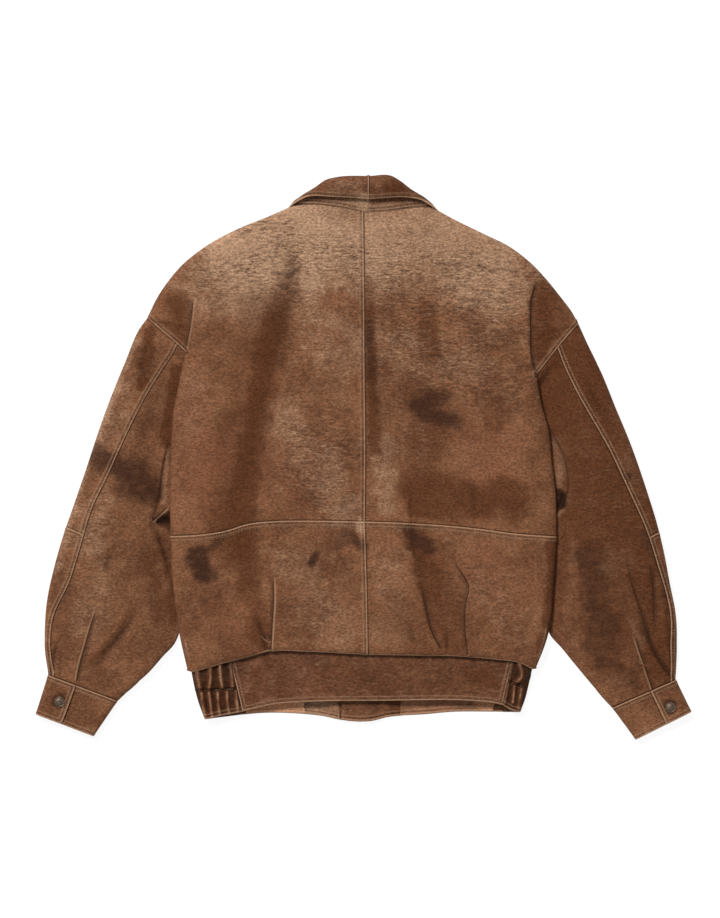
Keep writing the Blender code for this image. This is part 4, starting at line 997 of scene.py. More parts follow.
def leather(name, points, slot, marks, folds=(), high=(), low=(), rough=1.0, wall=LEATHER,
            middle=9.0, painted_shading=0.0, worn=(), tab=None):
    """A sheet of leather on these points of its outer surface, with its folds, its wear and their
    painted shade.
    """
    points = np.asarray(points, float)
    xy = points[..., :2]
    normal = outward_normals(points, middle)
    ridge, gap = seam_distance(xy, high), seam_distance(xy, low)
    if tab:
        line, on_top = tab
        beside_tab = seam_distance(xy, [line])
        ridge = np.minimum(ridge, np.where(on_top, beside_tab, FAR))
        gap = np.minimum(gap, np.where(on_top, FAR, beside_tab))
    flat = np.clip(np.minimum(ridge, gap) / SEAM_FLAT, FLATTEST, 1)
    folded, shades, lap, clear, crest = fold_shapes(xy, folds)
    uneven = crumple(xy, rough) * flat
    lift = folded + uneven + seam_height(ridge, gap, xy)
    upward = np.clip(np.abs(normal[..., 2]), FLATTEST, 1)
    placed = points + normal * (lift * upward)[..., None]
    placed[..., 2] = np.maximum(placed[..., 2], LOWEST)

    edge = seam_distance(xy, worn)
    layers = {kind: mark_strength(xy, marks.get(kind, ())) for kind in MARK_KINDS}
    layers["ridge"] = np.minimum(ridge, np.where(edge < WORN_WIDTH, edge + 0.4, FAR))
    # The painted shade and highlight of the folds and of the small unevenness.
    layers["shade"] = np.clip(shades + painted_shading + uneven / SHADE_SPAN, -1, 1)
    layers.update(gap=gap, lap=lap, clear=clear, crest=crest)
    mesh = grid_mesh(name, placed, layers)
    turned = np.cross(np.gradient(points, axis=1), np.gradient(points, axis=0))
    if (turned * normal).sum() < 0:
        mesh.flip_normals()
    sheet = new_object(name, mesh)
    solid = sheet.modifiers.new("Wall", "SOLIDIFY")
    solid.thickness = wall * MM
    solid.offset = -1
    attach(sheet, "root")
    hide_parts(name)
    SURFACES.append((placed, sheet))
    SHEETS.append((sheet, slot))


# %% Rows and columns of a panel
def joined(first, last, count):
    """These first and last columns of every row, with others evenly spread between them."""
    share = np.linspace(0, 1, count)[1:-1]
    between = first[:, -1:] * (1 - share) + last[:, :1] * share
    return np.concatenate([first, between, last], axis=1)


def across(width, inner, outer, count, start=None, end=None):
    """Columns across a form for every row: close together by a seam, evenly spread between."""
    start = 0 * width if start is None else start
    end = 1 + 0 * width if end is None else end
    first = start[:, None] + np.asarray(inner)[None, :] / width[:, None]
    last = end[:, None] - np.asarray(outer)[None, ::-1] / width[:, None]
    return joined(first, last, count + 2)


def down(length, spacing, first=FINE, last=FINE):
    """Places along a rail of this length, from 0 to 1, close together at a seamed end."""
    middle = max(2, round((length - first[-1] - last[-1]) / spacing))
    between = np.linspace(first[-1], length - last[-1], middle + 1)
    return np.concatenate([first[:-1], between, length - last[-2::-1]]) / length


def tucked(shape, down_here=WELL_INSIDE, first=(), last=()):
    """How far each point of a grid is sunk where its seam allowance lies under a neighbour."""
    rows, columns = shape
    down_here = down_here + np.zeros(rows)
    across_here = np.full(columns, WELL_INSIDE)
    across_here[:len(first)] = first
    across_here[columns - len(last):] = last
    steps = ease(-down_here / TUCK_SLOPE)[:, None], ease(-across_here / TUCK_SLOPE)[None, :]
    return TUCK * np.maximum(*steps)


def inside_of(places, length, low=0.0, high=1.0):
    """How far in from the nearer end each place lies, negative beyond it."""
    return np.minimum(places - low, high - places) * length


def with_allowance(grid):
    """The grid with a strip before its first row that lies under its neighbour."""
    run = grid[0] - grid[1]
    run /= np.linalg.norm(run, axis=-1, keepdims=True)
    strip = []
    for reach in (6.0, 3.0, 1.2, 0.3):
        row = grid[0] + run * reach
        row[..., 2] -= TUCK * ease(reach / TUCK_SLOPE)
        strip.append(row)
    return np.concatenate([np.stack(strip), grid])


def rolled(radius, count=9):
    """Distances in from a rounded edge whose steps follow the curve."""
    return radius * (1 - np.cos(np.linspace(0, math.pi / 2, count)))


# %% [markdown]
# The back is cut in four: two tall panels above the waist seam and two short ones below it, joined
# down the centre. The left panels keep the allowance of the centre seam, and the lower ones that
# of the waist. The lower panels bulge over the hem band and roll under it.

# %% The back
TORSO_STEP = 2.6
BACK_COLUMNS = round(230 / TORSO_STEP)


def centre_seam(side, line):
    """The left panel stands high along the centre seam and the right one low."""
    return ([line], []) if side == "left" else ([], [line])


def back_upper(side):
    outer = Rail(SHOULDER[side], ARMHOLE[side], SIDE_UPPER[side])
    form = Form(
        Rail(CENTRE_UPPER), outer, smooth_curve(NECK[side]), smooth_curve(WAIST[side]),
        torso_high, torso_edge(outer, SLEEVES[side], True),
    )
    v = down(outer.length, TORSO_STEP * 1.35, TUCKED, TUCKED)
    first = FINE + SEAM / 2 if side == "left" else TUCKED
    s = across(form.width(v), first, rolled(BACK_ROLL), BACK_COLUMNS)
    grid = form.upper(s, v[:, None])
    grid[..., 2] -= tucked(s.shape, inside_of(v, outer.length), first)
    high, low = centre_seam(side, CENTRE_UPPER)
    leather(
        f"back_upper_{side}", grid, "leather", BODY_MARKS, BODY_FOLDS,
        high=[ARMHOLE[side], *high], low=[waist_line(), NECK[side], *low],
    )


def rounded_corner(s, v, width, length, radius=7.0):
    """Moves the places near the outer end of a panel so that its corner is round."""
    width, rows = width[:, None], v[:, None] + 0 * s
    u = 1 - np.clip((1 - s) * width / radius, 0, 1)
    w = 1 - np.clip((1 - rows) * length / radius, 0, 1)
    inside = (u > 0) & (w > 0)
    new_s = 1 - (1 - u * np.sqrt(1 - w * w / 2)) * radius / width
    new_v = 1 - (1 - w * np.sqrt(1 - u * u / 2)) * radius / length
    return np.where(inside, new_s, s), np.where(inside, new_v, rows)


def back_lower(side):
    outer = Rail(SIDE_LOWER[side])
    form = Form(
        Rail(CENTRE_LOWER), outer, smooth_curve(WAIST[side]), smooth_curve(HEM[side]),
        torso_high, side_edge,
    )
    turns = np.radians(np.linspace(0, HEM_ANGLE, 14))
    last = HEM_ROLL + 14
    even = np.linspace(10, outer.length - last, round(160 / TORSO_STEP))
    flat = np.concatenate([FINE + SEAM / 2, even])
    near = np.linspace(outer.length - last, outer.length - HEM_ROLL, 8)[1:-1]
    roll = outer.length - HEM_ROLL * (1 - np.sin(turns))
    v = np.concatenate([flat, near, roll]) / outer.length
    drop = np.concatenate([0 * flat, 0 * near, HEM_DROP * (1 - np.cos(turns))])
    first = FINE + SEAM / 2 if side == "left" else TUCKED
    s = across(form.width(v), first, rolled(BACK_ROLL), BACK_COLUMNS)
    s, rows = rounded_corner(s, v, form.width(v), outer.length)
    grid = form.upper(s, rows)
    grid[..., 2] -= tucked(s.shape, first=first)
    raised = (grid[..., 2] - SIDE_EDGE) / (BACK_HIGH + BLOUSE - SIDE_EDGE)
    grid[..., 2] -= drop[:, None] * (0.3 + 0.7 * np.clip(raised, 0, 1))
    high, low = centre_seam(side, CENTRE_LOWER)
    leather(
        f"back_lower_{side}", grid, "leather", BODY_MARKS, BODY_FOLDS,
        high=[waist_line(), *high], low=low, worn=[HEM[side]],
    )


for side in SIDES:
    back_upper(side)
    back_lower(side)

# %% [markdown]
# The fronts lie underneath. The photograph doesn't show them, so they get plain panels with soft
# folds and a lapped strip with hidden snaps, in the same leather.

# %% The fronts
def front_lift(side):
    """The fronts rest on the floor but for the collar under them and the fastened edges."""

    def lift(x, y):
        own = -x if side == "left" else x
        top = OVER_LIFT if side == "left" else UNDER_LIFT
        placket = top * (1 - ease((own - PLACKET_HALF) / 32))
        collar = COLLAR_LIFT * ease((y - 205) / 25) * (1 - ease((own - 125) / 25))
        return np.maximum(placket, collar)

    return lift


def front_line(x):
    """A line straight down the front."""
    return [(x, PLACKET_TOP), (x, 0), (x, FRONT_HEM)]


def front(side):
    sign = SIGN[side]
    inner = front_line(sign * PLACKET_HALF)
    outer = Rail(SHOULDER[side], ARMHOLE[side], SIDE_UPPER[side], SIDE_LOWER[side])
    corner = SIDE_LOWER[side][-1]
    ear = (corner[0] - sign * FRONT_EAR[0], corner[1] + FRONT_EAR[1])
    end = [inner[-1], (sign * 120, FRONT_HEM), (sign * 200, FRONT_HEM + 1), ear, corner]
    form = Form(
        Rail(inner), outer, smooth_curve(NECK_DROP[side]), smooth_curve(end), torso_high,
        torso_edge(outer, SLEEVES[side], False), lift=front_lift(side),
    )
    v = down(outer.length, 5.6)
    s = across(form.width(v), FINE + SEAM / 2, rolled(44.0, 14), 40)
    s, rows = rounded_corner(s, v, form.width(v), outer.length, 16.0)
    leather(
        f"front_{side}", form.lower(s, rows), "leather", UNDER_MARKS, UNDER_FOLDS,
        high=[ARMHOLE[side]], low=[inner], rough=0.5,
    )
    sewn = PLACKET_HALF - SEAM / 2
    x = (-sewn, PLACKET_FREE) if side == "left" else (-PLACKET_FREE, sewn)
    z = OVER_LIFT if side == "left" else UNDER_LIFT
    x = np.concatenate([x[0] + FINE, np.linspace(x[0] + 11, x[1] - 11, 9), x[1] - FINE[::-1]])
    y = np.linspace(PLACKET_TOP, FRONT_HEM, 160)
    x, y = np.meshgrid(x, y)
    strip = np.stack([x, y, z + 0 * x], axis=-1)
    edges = [front_line(-PLACKET_HALF), front_line(PLACKET_HALF)]
    leather(
        f"placket_{side}", strip, "leather", UNDER_MARKS, high=edges, rough=0.2,
    )


for side in SIDES:
    front(side)

# %% [markdown]
# A sleeve has a narrow under panel between the body and its long seam. The top panel runs from that
# seam round the outer edge and back under the whole arm, and is cut in two at the elbow.

# %% The sleeves
def across_at(form, seam):
    """Where the seam's points lie across the form, as a function of the place along it."""
    s, v = np.meshgrid(np.linspace(0, 1, 161), np.linspace(0, 1, 241))
    plan = form.plan(s, v)
    found = []
    for point in smooth_curve(seam)(np.linspace(0, 1, 40)):
        nearest = np.argmin(np.linalg.norm(plan - point, axis=-1))
        found.append((v.flat[nearest], s.flat[nearest]))
    found.sort()
    kernel = np.array([1, 2, 3, 2, 1]) / 9
    places = np.array(found)
    smooth = np.convolve(np.pad(places[:, 1], 2, mode="edge"), kernel, mode="valid")
    return lambda at: np.interp(at, places[:, 0], smooth)


def sleeve(side):
    form = SLEEVES[side]
    seam = across_at(form, SLEEVE_SEAM[side])
    length = form.outer.length
    elbow = ELBOW[side]
    arm = down(elbow * length, 3.4, TUCKED, TUCKED) * elbow
    fore = elbow + down((1 - elbow) * length, 3.2, FINE, TUCKED) * (1 - elbow)
    fore[0] = elbow + SEAM / 2 / length
    whole = down(length, 3.4, TUCKED, TUCKED)
    stations = np.linspace(0, 1, 26)
    sleeve_line = [tuple(p) for p in form.plan(seam(stations), stations)]
    elbow_line = [tuple(p) for p in form.plan(np.linspace(seam(elbow), 1, 6), elbow)]
    armhole, cuff_seam = [ARMHOLE[side]], [cuff_line(side, 0.0)]

    width = form.width(whole)
    near = np.broadcast_to(form.inner_edge(whole).near, whole.shape)
    line = np.maximum(seam(whole), (near + 4) / width)
    first = np.stack([rolled(r, 6) for r in near]) / width[:, None]
    last = line[:, None] - TUCKED[None, ::-1] / width[:, None]
    last = np.maximum(last, first[:, -1:] + np.linspace(0.0005, 0.005, len(TUCKED))[None, :])
    flange = (0.3 + 4.5 * (1 - ease(whole / 0.16)))[:, None] * [-1.0, -0.5] / width[:, None]
    s = np.concatenate([flange, joined(first, last, 30)], axis=1)
    grid = form.upper(s, whole[:, None])
    grid[..., 2] -= tucked(s.shape, inside_of(whole, length), last=TUCKED[::-1])
    leather(
        f"sleeve_under_{side}", grid, "leather", SLEEVE_MARKS, SLEEVE_FOLDS,
        low=[sleeve_line, *armhole, *cuff_seam],
    )

    for name, v in ((f"sleeve_top_{side}", arm), (f"sleeve_low_{side}", fore)):
        width = form.width(v)
        line = np.maximum(seam(v), (form.inner_edge(v).near + 4) / width) + SEAM / 2 / width
        room = (1 - line) * width
        fine = FINE[None, :] * np.minimum(1, room / 40)[:, None] / width[:, None]
        first = line[:, None] + fine
        radius = np.minimum(form.outer_edge(v).near, room - FINE[-1] - 1)
        last = 1 - np.stack([rolled(r, 8)[::-1] for r in np.maximum(radius, 2)]) / width[:, None]
        last = np.maximum(last, first[:, -1:] + np.linspace(0.0003, 0.003, last.shape[1])[None, :])
        s_up = np.minimum(joined(first, last, 40), 1)
        under = np.broadcast_to(form.outer_edge(v).under, v.shape)
        start = 1 - np.stack([rolled(r, 9) for r in under]) / width[:, None]
        inner = np.broadcast_to(form.inner_edge(v).under, v.shape)
        finish = np.stack([rolled(r, 7)[::-1] for r in inner]) / width[:, None]
        s_low = joined(start[:, 1:], finish, 22)
        upper = form.upper(s_up, v[:, None])
        lower = form.lower(s_low, v[:, None])
        inset = inside_of(v, length, 0.0, elbow) if v is arm else inside_of(v, length, -1.0, 1.0)
        upper[..., 2] -= tucked(s_up.shape, inset)
        lower[..., 2] += tucked(s_low.shape, inset)
        lower_lift = fold_shapes(lower[..., :2], UNDER_FOLDS)[0]
        lower[..., 2] -= np.minimum(lower_lift, 0) * 0.5
        ends = armhole if v is arm else cuff_seam
        leather(
            name, np.concatenate([upper, lower], axis=1), "leather", SLEEVE_MARKS, SLEEVE_FOLDS,
            high=[sleeve_line] + ([elbow_line] if v is fore else []),
            low=ends + ([elbow_line] if v is arm else []), rough=0.8,
        )
    return sleeve_line, elbow_line


SLEEVE_LINES = {side: sleeve(side) for side in SIDES}

# %% [markdown]
# A cuff is one strip round the wrist. Its tab laps over its own other end and is held by a snap.
# All its edges are turned and topstitched, so they are round and rubbed light.

# %% The cuffs
def cuff(side):
    inner_start, outer_start, inner_end, outer_end = CUFF[side]
    form = Form(
        Rail([inner_start, inner_end]), Rail([outer_start, outer_end]),
        smooth_curve([inner_start, outer_start]), smooth_curve([inner_end, outer_end]),
        lambda x, y, v: CUFF_HIGH + 0 * x,
        lambda v: Edge(CUFF_EDGE + 0.5 + 0 * v, 1.0, *CUFF_ROUND),
        lambda v: Edge(CUFF_EDGE - 0.5 + 0 * v, 1.0, *CUFF_ROUND),
    )
    v = down(form.outer.length, 1.9)
    v[0] = SEAM / form.outer.length
    width = form.width(v)
    radius = CUFF_ROUND[0]
    tab = TAB_EDGE[0] * (1 - v) + TAB_EDGE[1] * v
    over = across(width, FINE, rolled(radius), 8, start=tab)
    under = across(width, rolled(radius)[1:], rolled(radius), 40)[:, ::-1]
    lap_end = TAB_LAP + 0 * v
    lap = across(width, rolled(radius)[1:], FINE[:4], 40, end=lap_end)
    over = form.upper(over, v[:, None])
    under = form.lower(under, v[:, None])[:, 1:]
    lap = form.upper(lap, v[:, None])
    sunk = np.clip((lap[..., 2] - CUFF_EDGE + 0.5) / (CUFF_HIGH - CUFF_EDGE + 0.5), 0, 1)
    lap[..., 2] -= (CUFF_HIGH - CUFF_LAP) * sunk
    grid = np.concatenate([over, under, lap], axis=1)
    leather(
        f"cuff_{side}", grid, "leather", SLEEVE_MARKS,
        high=[cuff_line(side, 0.0), cuff_line(side, 1.0)], rough=0.35,
        tab=(tab_line(side), np.arange(grid.shape[1]) < over.shape[1]),
    )


for side in SIDES:
    cuff(side)

# %% [markdown]
# The hem band: a flat stretch at the back, a gathered elastic stretch round each side, and a front
# band whose tan facing shows below the back band. The gathers are ridges that stop at the rows of
# shirring.

# %% The hem band
def band_edge(v):
    return Edge(BAND_EDGE + 0 * v, 1.0, *BAND_ROUND)


def band_high(x, y, v):
    return BAND_HIGH + 0 * x


def gusset(side):
    sign = SIGN[side]
    seam, outer, below = BAND_SEAM[side], GUSSET_OUTER[side], BAND_BELOW[side]
    lowest = [seam[-1], (sign * 205, (seam[-1][1] + outer[-1][1]) / 2 - 1), outer[-1]]
    upper = Form(
        Rail(seam), Rail(outer), smooth_curve([seam[0], outer[0]]), smooth_curve(lowest),
        band_high, band_edge,
    )
    lower = Form(
        Rail(below), Rail(outer), smooth_curve([below[0], outer[0]]),
        smooth_curve([below[-1], outer[-1]]), band_high, band_edge,
    )
    v = np.linspace(0, 1, 70)
    first = TUCKED[:9]
    s_up = across(upper.width(v), first, rolled(12.0, 14), 40)
    s_low = across(lower.width(v), SEAM + np.array([0, 0.6, 1.4]), rolled(12.0, 12)[1:], 20)[:, ::-1]
    above = upper.upper(s_up, v[:, None])
    heights, painted_shading = fold_shapes(above[..., :2], BAND_FOLDS)[:2]
    above[..., 2] += heights - tucked(s_up.shape, first=first)
    grid = np.concatenate([above, lower.lower(s_low, v[:, None])], axis=1)
    # The gathers get painted shade between them and a painted highlight on their tops, made uneven by
    # noise.
    patchy = 0.3 * noise(above[..., 0], above[..., 1], 7, 11, 12)
    painted_shading = np.concatenate([1.45 * painted_shading + patchy - 0.82, 0 * s_low], axis=1)
    leather(
        f"band_side_{side}", grid, "leather_dark", BAND_MARKS, high=[lowest],
        low=[seam], rough=0.3, painted_shading=painted_shading,
    )


def band_back():
    form = Form(
        Rail(BAND_SEAM["left"]), Rail(BAND_SEAM["right"]), smooth_curve(BAND_TOP),
        smooth_curve(BAND_LOW),
    )
    v = down(75.0, 2.2, first=np.array([0.0, 2.0]))
    s = across(form.width(v), FINE + SEAM, FINE + SEAM, 170)
    plan = form.plan(s, v[:, None])
    grid = np.concatenate([plan, BAND_HIGH + 0 * plan[..., :1]], axis=-1)
    leather(
        "band_back", grid, "leather_dark", BAND_MARKS,
        high=[BAND_LOW, BAND_SEAM["left"], BAND_SEAM["right"]], rough=0.7,
    )


def on_front(side, plan):
    """Points of the front band, at the height that its front panel has there."""
    z = front_lift(side)(plan[..., 0], 0 * plan[..., 1])
    return np.concatenate([plan, z[..., None]], axis=-1)


def band_front(side):
    sign = SIGN[side]
    below, low = BAND_BELOW[side], FRONT_LOW[side]
    beyond = FRONT_LOW_PLACKET[1:] if side == "left" else FRONT_LOW_PLACKET[-2::-1]
    corner = below[-1]
    free = -sign * PLACKET_FREE
    start = [below[0], (sign * 100, BAND_FRONT_TOP), (free, BAND_FRONT_TOP)]
    inside = [point for point in low if abs(point[0]) < abs(corner[0]) - 3]
    end = [corner, *inside, *beyond]
    form = Form(
        Rail(below), Rail([(free, BAND_FRONT_TOP), (free, end[-1][1])]), smooth_curve(start),
        smooth_curve(end),
    )
    reach = abs(below[0][0]) + PLACKET_FREE
    v = down(70.0, 2.4, first=np.array([0.0, 1.5]))
    s = across(reach + 0 * v, TUCKED, FINE, 70)
    grid = on_front(side, form.plan(s, v[:, None]))
    grid[..., 2] += tucked(s.shape, first=TUCKED)
    leather(
        f"band_front_{side}", grid, "leather_dark", UNDER_MARKS, high=[end], rough=0.25,
    )
    bounds = [(abs(below[0][0]) - place) / reach + 0 * v for place in FACING[side]]
    own_edge = [(x, y + FACING_SHORT[1]) for x, y in end]
    kinds = (("facing", "facing"), ("placket_facing", "leather_dark"))
    for (name, slot), start, end in zip(kinds, bounds[:-1], bounds[1:]):
        s = across(reach + 0 * v, [0.3, 0.9, 1.6], [0.0, 0.6, 1.4], 44, start, end)
        inner = on_front(side, form.plan(s, v[:, None]))
        inner[..., 2] += SOLID_LEATHER + SEAM
        inner[0, :, 1] -= FACING_SHORT[0]
        inner[-1, :, 1] += FACING_SHORT[1]
        leather(
            f"{name}_{side}", inner, slot, FACING_PAINTED_LIGHT_AND_SHADE, high=[own_edge], rough=0.25,
            wall=FACING_LEATHER, middle=-90.0,
        )


for side in SIDES:
    gusset(side)
    band_front(side)
band_back()

# %% [markdown]
# The collar folds down over its stand. Both are strips swept round the neck: from the centre back,
# over the shoulder and down to the fastened front, which lies under the jacket.

# %% The collar
def from_above(points):
    """The places of these points, without their heights."""
    return [(x, y) for x, y, _ in points]


def collar(side):
    fold, edge = smooth_curve(LEAF_FOLD[side]), smooth_curve(LEAF_EDGE[side])
    neck, top = smooth_curve(STAND_NECK[side]), smooth_curve(STAND_TOP[side])
    t = np.concatenate([[0, 0.0012, 0.003, 0.006], np.linspace(0.01, 1, 170)])[:, None]
    reach = np.linspace(0, 1, 18)
    w = np.unique(np.concatenate([reach, [0.985, 0.965, 0.93]]))[None, :]
    bulge = LEAF_BULGE * (1 - ease((t - 0.12) / 0.2)) * 4 * w * (1 - w) * (1.35 - 0.7 * w)
    leaf = fold(t) * (1 - w[..., None]) + edge(t) * w[..., None]
    leaf[..., 2] = np.maximum(leaf[..., 2] + bulge, COLLAR_FLOOR)
    turned = np.linspace(0, 1, 6)[None, :-1, None]
    round_fold = top(t) * (1 - turned) + fold(t) * turned
    round_fold[..., 2] = np.maximum(round_fold[..., 2] - 0.6 * (1 - turned[..., 0]), COLLAR_FLOOR)
    leaf = np.concatenate([round_fold, leaf], axis=1)
    if side == "right":
        leaf = with_allowance(leaf)
    worn, low = centre_seam(side, [(7.6, 396), (7.6, 380), (7.6, 362)])
    leather(
        f"collar_leaf_{side}", leaf, "leather_dark", COLLAR_MARKS,
        high=[from_above(LEAF_EDGE[side])], low=low, worn=worn, rough=0.35,
    )
    w = np.concatenate([[-0.18, -0.08, -0.03, 0.0, 0.02, 0.05], np.linspace(0.1, 1, 16)])[None, :]
    stand = neck(t) * (1 - w[..., None]) + top(t) * w[..., None]
    stand[..., 2] -= 1.2 * ease(-w / 0.08)
    if side == "right":
        stand = with_allowance(stand)
    leather(
        f"collar_stand_{side}", stand, "leather_dark", COLLAR_MARKS, rough=0.3,
        tab=(from_above(STAND_NECK[side][:6]), w[0] > -0.001),
    )


for side in SIDES:
    collar(side)
print("sheets of leather", len(SHEETS))

# %% [markdown]
# The snaps are dark brass caps with a raised rim: a profile turned round its axis with spin.

# %% The snaps
def snap(name, place, outer_z, facing=1):
    profile = [
        (0, SNAP_HEIGHT), (0.2, SNAP_HEIGHT - 0.05), (0.42, SNAP_HEIGHT - 0.25),
        (0.6, SNAP_HEIGHT - 0.6), (0.7, SNAP_HEIGHT - 1.1), (0.74, 1.05), (0.8, 0.9), (0.86, 1.2),
        (0.93, 1.35), (0.99, 1.1), (1, 0.6), (0.98, 0), (0, 0),
    ]
    shape = bmesh.new()
    corners = [shape.verts.new((r * SNAP_RADIUS * MM, 0, z * MM)) for r, z in profile]
    for first, second in zip(corners[:-1], corners[1:]):
        shape.edges.new((first, second))
    bmesh.ops.spin(
        shape, geom=shape.verts[:] + shape.edges[:], cent=(0, 0, 0), axis=(0, 0, 1),
        angle=2 * math.pi, steps=36, use_merge=True,
    )
    bmesh.ops.remove_doubles(shape, verts=shape.verts[:], dist=0.00001)
    bmesh.ops.recalc_face_normals(shape, faces=shape.faces[:])
    at = [(a - b) * MM for a, b in zip((*place, outer_z), CENTRE)]
    turn = Matrix.Rotation(math.pi, 4, "X") if facing < 0 else Matrix.Identity(4)
    bmesh.ops.transform(shape, matrix=Matrix.Translation(at) @ turn, verts=shape.verts[:])
    mesh = mesh_from(name, shape)
    mesh.shade_smooth()
    cap = new_object(name, mesh)
    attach(cap, "root")
    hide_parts(name)
    SHEETS.append((cap, "snap"))


for side in SIDES:
    snap(f"snap_cuff_{side}", CUFF_SNAP[side], CUFF_HIGH + SEAM)
for k, place in enumerate(FRONT_SNAPS, start=1):
    snap(f"snap_front_{k}", (0, place), OVER_LIFT - SEAM, facing=-1)

# %% [markdown]
# Stitches are real thread here, not a painted dashed line. Each row is a line beside a seam, and a
# ray is cast on the finished leather for every stitch, so the thread lies on it. One stitch is a
# small stretched sphere of 24 faces, because it is repeated many hundred times.

# %% Stitches
THREAD = 0.4
STITCH = 3.1
PITCH = 4.0
THREAD_LIFT = 0.12
THREAD_BOTTOM = 1.4 * THREAD
LONGEST = 1.6 * STITCH


def tree_of(names):
    """A tree for ray casting on the outer surfaces of these pieces."""
    points, faces, count = [], [], 0
    for placed, sheet in SURFACES:
        if not sheet.name.startswith(tuple(names)):
            continue
        rows, columns = placed.shape[:2]
        index = np.arange(rows * columns).reshape(rows, columns) + count
        quads = np.stack([index[:-1, :-1], index[:-1, 1:], index[1:, 1:], index[1:, :-1]], axis=-1)
        points.append(((placed - CENTRE) * MM).reshape(-1, 3))
        faces.append(quads.reshape(-1, 4))
        count += rows * columns
    return BVHTree.FromPolygons(np.concatenate(points).tolist(), np.concatenate(faces).tolist())


def beside(points, offset):
    """A line this far to the left of another, seen from above along its run."""
    line = line_through(points, 200)
    run = np.gradient(line, axis=0)
    run /= np.linalg.norm(run, axis=1, keepdims=True)
    return line + offset * np.stack([-run[:, 1], run[:, 0]], axis=1)


def stitch_row(shape, tree, line, up):
    """Stitches along a line seen from above, laid on the leather."""
    steps = np.linalg.norm(np.diff(line, axis=0), axis=1)
    passed = np.concatenate([[0.0], np.cumsum(steps)])
    height = 0.1 if up else -0.02
    way = Vector((0, 0, -1 if up else 1))
    made = 0
    for centre in np.arange(PITCH / 2, passed[-1], PITCH):
        ends = []
        for at in (centre - STITCH / 2, centre + STITCH / 2):
            x = (np.interp(at, passed, line[:, 0]) - CENTRE[0]) * MM
            y = (np.interp(at, passed, line[:, 1]) - CENTRE[1]) * MM
            hit = tree.ray_cast(Vector((x, y, height)), way)[0]
            ends.append(None if hit is None or hit.z < 0 else hit)
        if None in ends or (ends[1] - ends[0]).length > LONGEST * MM:
            continue
        run = ends[1] - ends[0]
        side = run.cross(-way).normalized()
        across_thread = side.cross(run.normalized())
        middle = (ends[0] + ends[1]) / 2 - way * THREAD_LIFT * MM
        middle.z = max(middle.z, THREAD_BOTTOM * MM)
        turn = Matrix((run.normalized(), side, across_thread)).transposed().to_4x4()
        scale = Matrix.Diagonal((STITCH / 2 * MM, THREAD * MM, THREAD * MM, 1))
        place = Matrix.Translation(middle) @ turn @ scale
        bmesh.ops.create_uvsphere(shape, u_segments=6, v_segments=4, radius=1, matrix=place)
        made += 1
    return made


def rows_on(pieces, *rows, up=True):
    """Rows of stitches on these pieces. Each is a line and how far to its left the row lies."""
    tree = tree_of(pieces)
    return [(tree, beside(line, offset), up) for line, offset in rows]


def thread(name, rows):
    """One object that holds the stitches of several rows."""
    shape = bmesh.new()
    made = sum(stitch_row(shape, *row) for row in rows)
    mesh = mesh_from(name, shape)
    mesh.shade_smooth()
    thread_object = new_object(name, mesh)
    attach(thread_object, "root")
    SHEETS.append((thread_object, "thread"))
    print(name, made)


# %% All the rows of stitches
thread("stitches_back", rows_on(
    ["back_"], (CENTRE_UPPER, -6.3), (CENTRE_LOWER, -4.2), (CENTRE_LOWER, -8.4),
    (waist_line(), -4.2), (waist_line(), -8.6), (ARMHOLE["left"], 4.2), (ARMHOLE["right"], -4.2),
))
for side, sign in SIGN.items():
    line, elbow_line = SLEEVE_LINES[side]
    thread(f"stitches_sleeve_{side}", rows_on(
        ["sleeve_"], (line, sign * 1.8), (line, sign * 4.8), (elbow_line, sign * 5.0),
    ))
    start, end = cuff_line(side, 0.0), cuff_line(side, 1.0)
    thread(f"stitches_cuff_{side}", rows_on(
        [f"cuff_{side}"], (start, sign * -4.2), (start, sign * -8.4), (end, sign * 3.4),
        (tab_line(side), sign * 3.4),
    ))
BAND = ["band_back", "band_side"]
SHIRRING = ([(-236, -324), (-210, -324), (-182, -322)], [(203, -311), (212, -315), (226, -320)])
thread("stitches_band", [
    *rows_on(BAND, (BAND_LOW, 3.6), (BAND_SEAM["left"], 4.2), (BAND_SEAM["right"], -4.2)),
    *((tree_of(BAND), line_through(points, 60), True) for points in SHIRRING),
])
for side, sign in SIGN.items():
    seam_line = from_above(STAND_NECK[side][:5])
    thread(f"stitches_collar_{side}", [
        *rows_on(["collar_leaf"], (from_above(LEAF_EDGE[side][:6]), sign * 3.4)),
        *rows_on(["collar_stand"], *((seam_line, sign * offset) for offset in (2.6, 5.2, 8.4))),
    ])
thread("stitches_front", rows_on(
    ["front_", "placket_left", "placket_right", "band_front", "collar_leaf"],
    (front_line(-PLACKET_HALF), 5), (front_line(PLACKET_HALF), -5),
    (FRONT_LOW["left"] + FRONT_LOW_PLACKET[1:], 4), up=False,
))

# %% [markdown]
# The leather is a worn nubuck: matte, mottled, with a fine nap that is dragged a little sideways.
# One shader group makes its colour, roughness and height for every slot. It mixes deep, middle and
# rubbed colours by noise, then lays the stains, the flecks, the worn seams and the painted shade and
# highlights of the folds and seams on top.

# %% Short ways to add a node
def add_node(tree, kind, **values):
    node = tree.nodes.new(kind)
    for key, value in values.items():
        setattr(node, key, value)
    return node


def math_node(tree, operation, a, b=None, clamp=False):
    node = add_node(tree, "ShaderNodeMath", operation=operation, use_clamp=clamp)
    for socket, value in zip(node.inputs, (a, b)):
        if value is None:
            continue
        if isinstance(value, (int, float)):
            socket.default_value = value
        else:
            tree.links.new(value, socket)
    return node.outputs[0]


def ramp(tree, value, low, high, bottom=0.0, top=1.0):
    node = add_node(tree, "ShaderNodeMapRange", interpolation_type="SMOOTHSTEP")
    tree.links.new(value, node.inputs["Value"])
    for key, number in zip(("From Min", "From Max", "To Min", "To Max"), (low, high, bottom, top)):
        node.inputs[key].default_value = number
    return node.outputs["Result"]


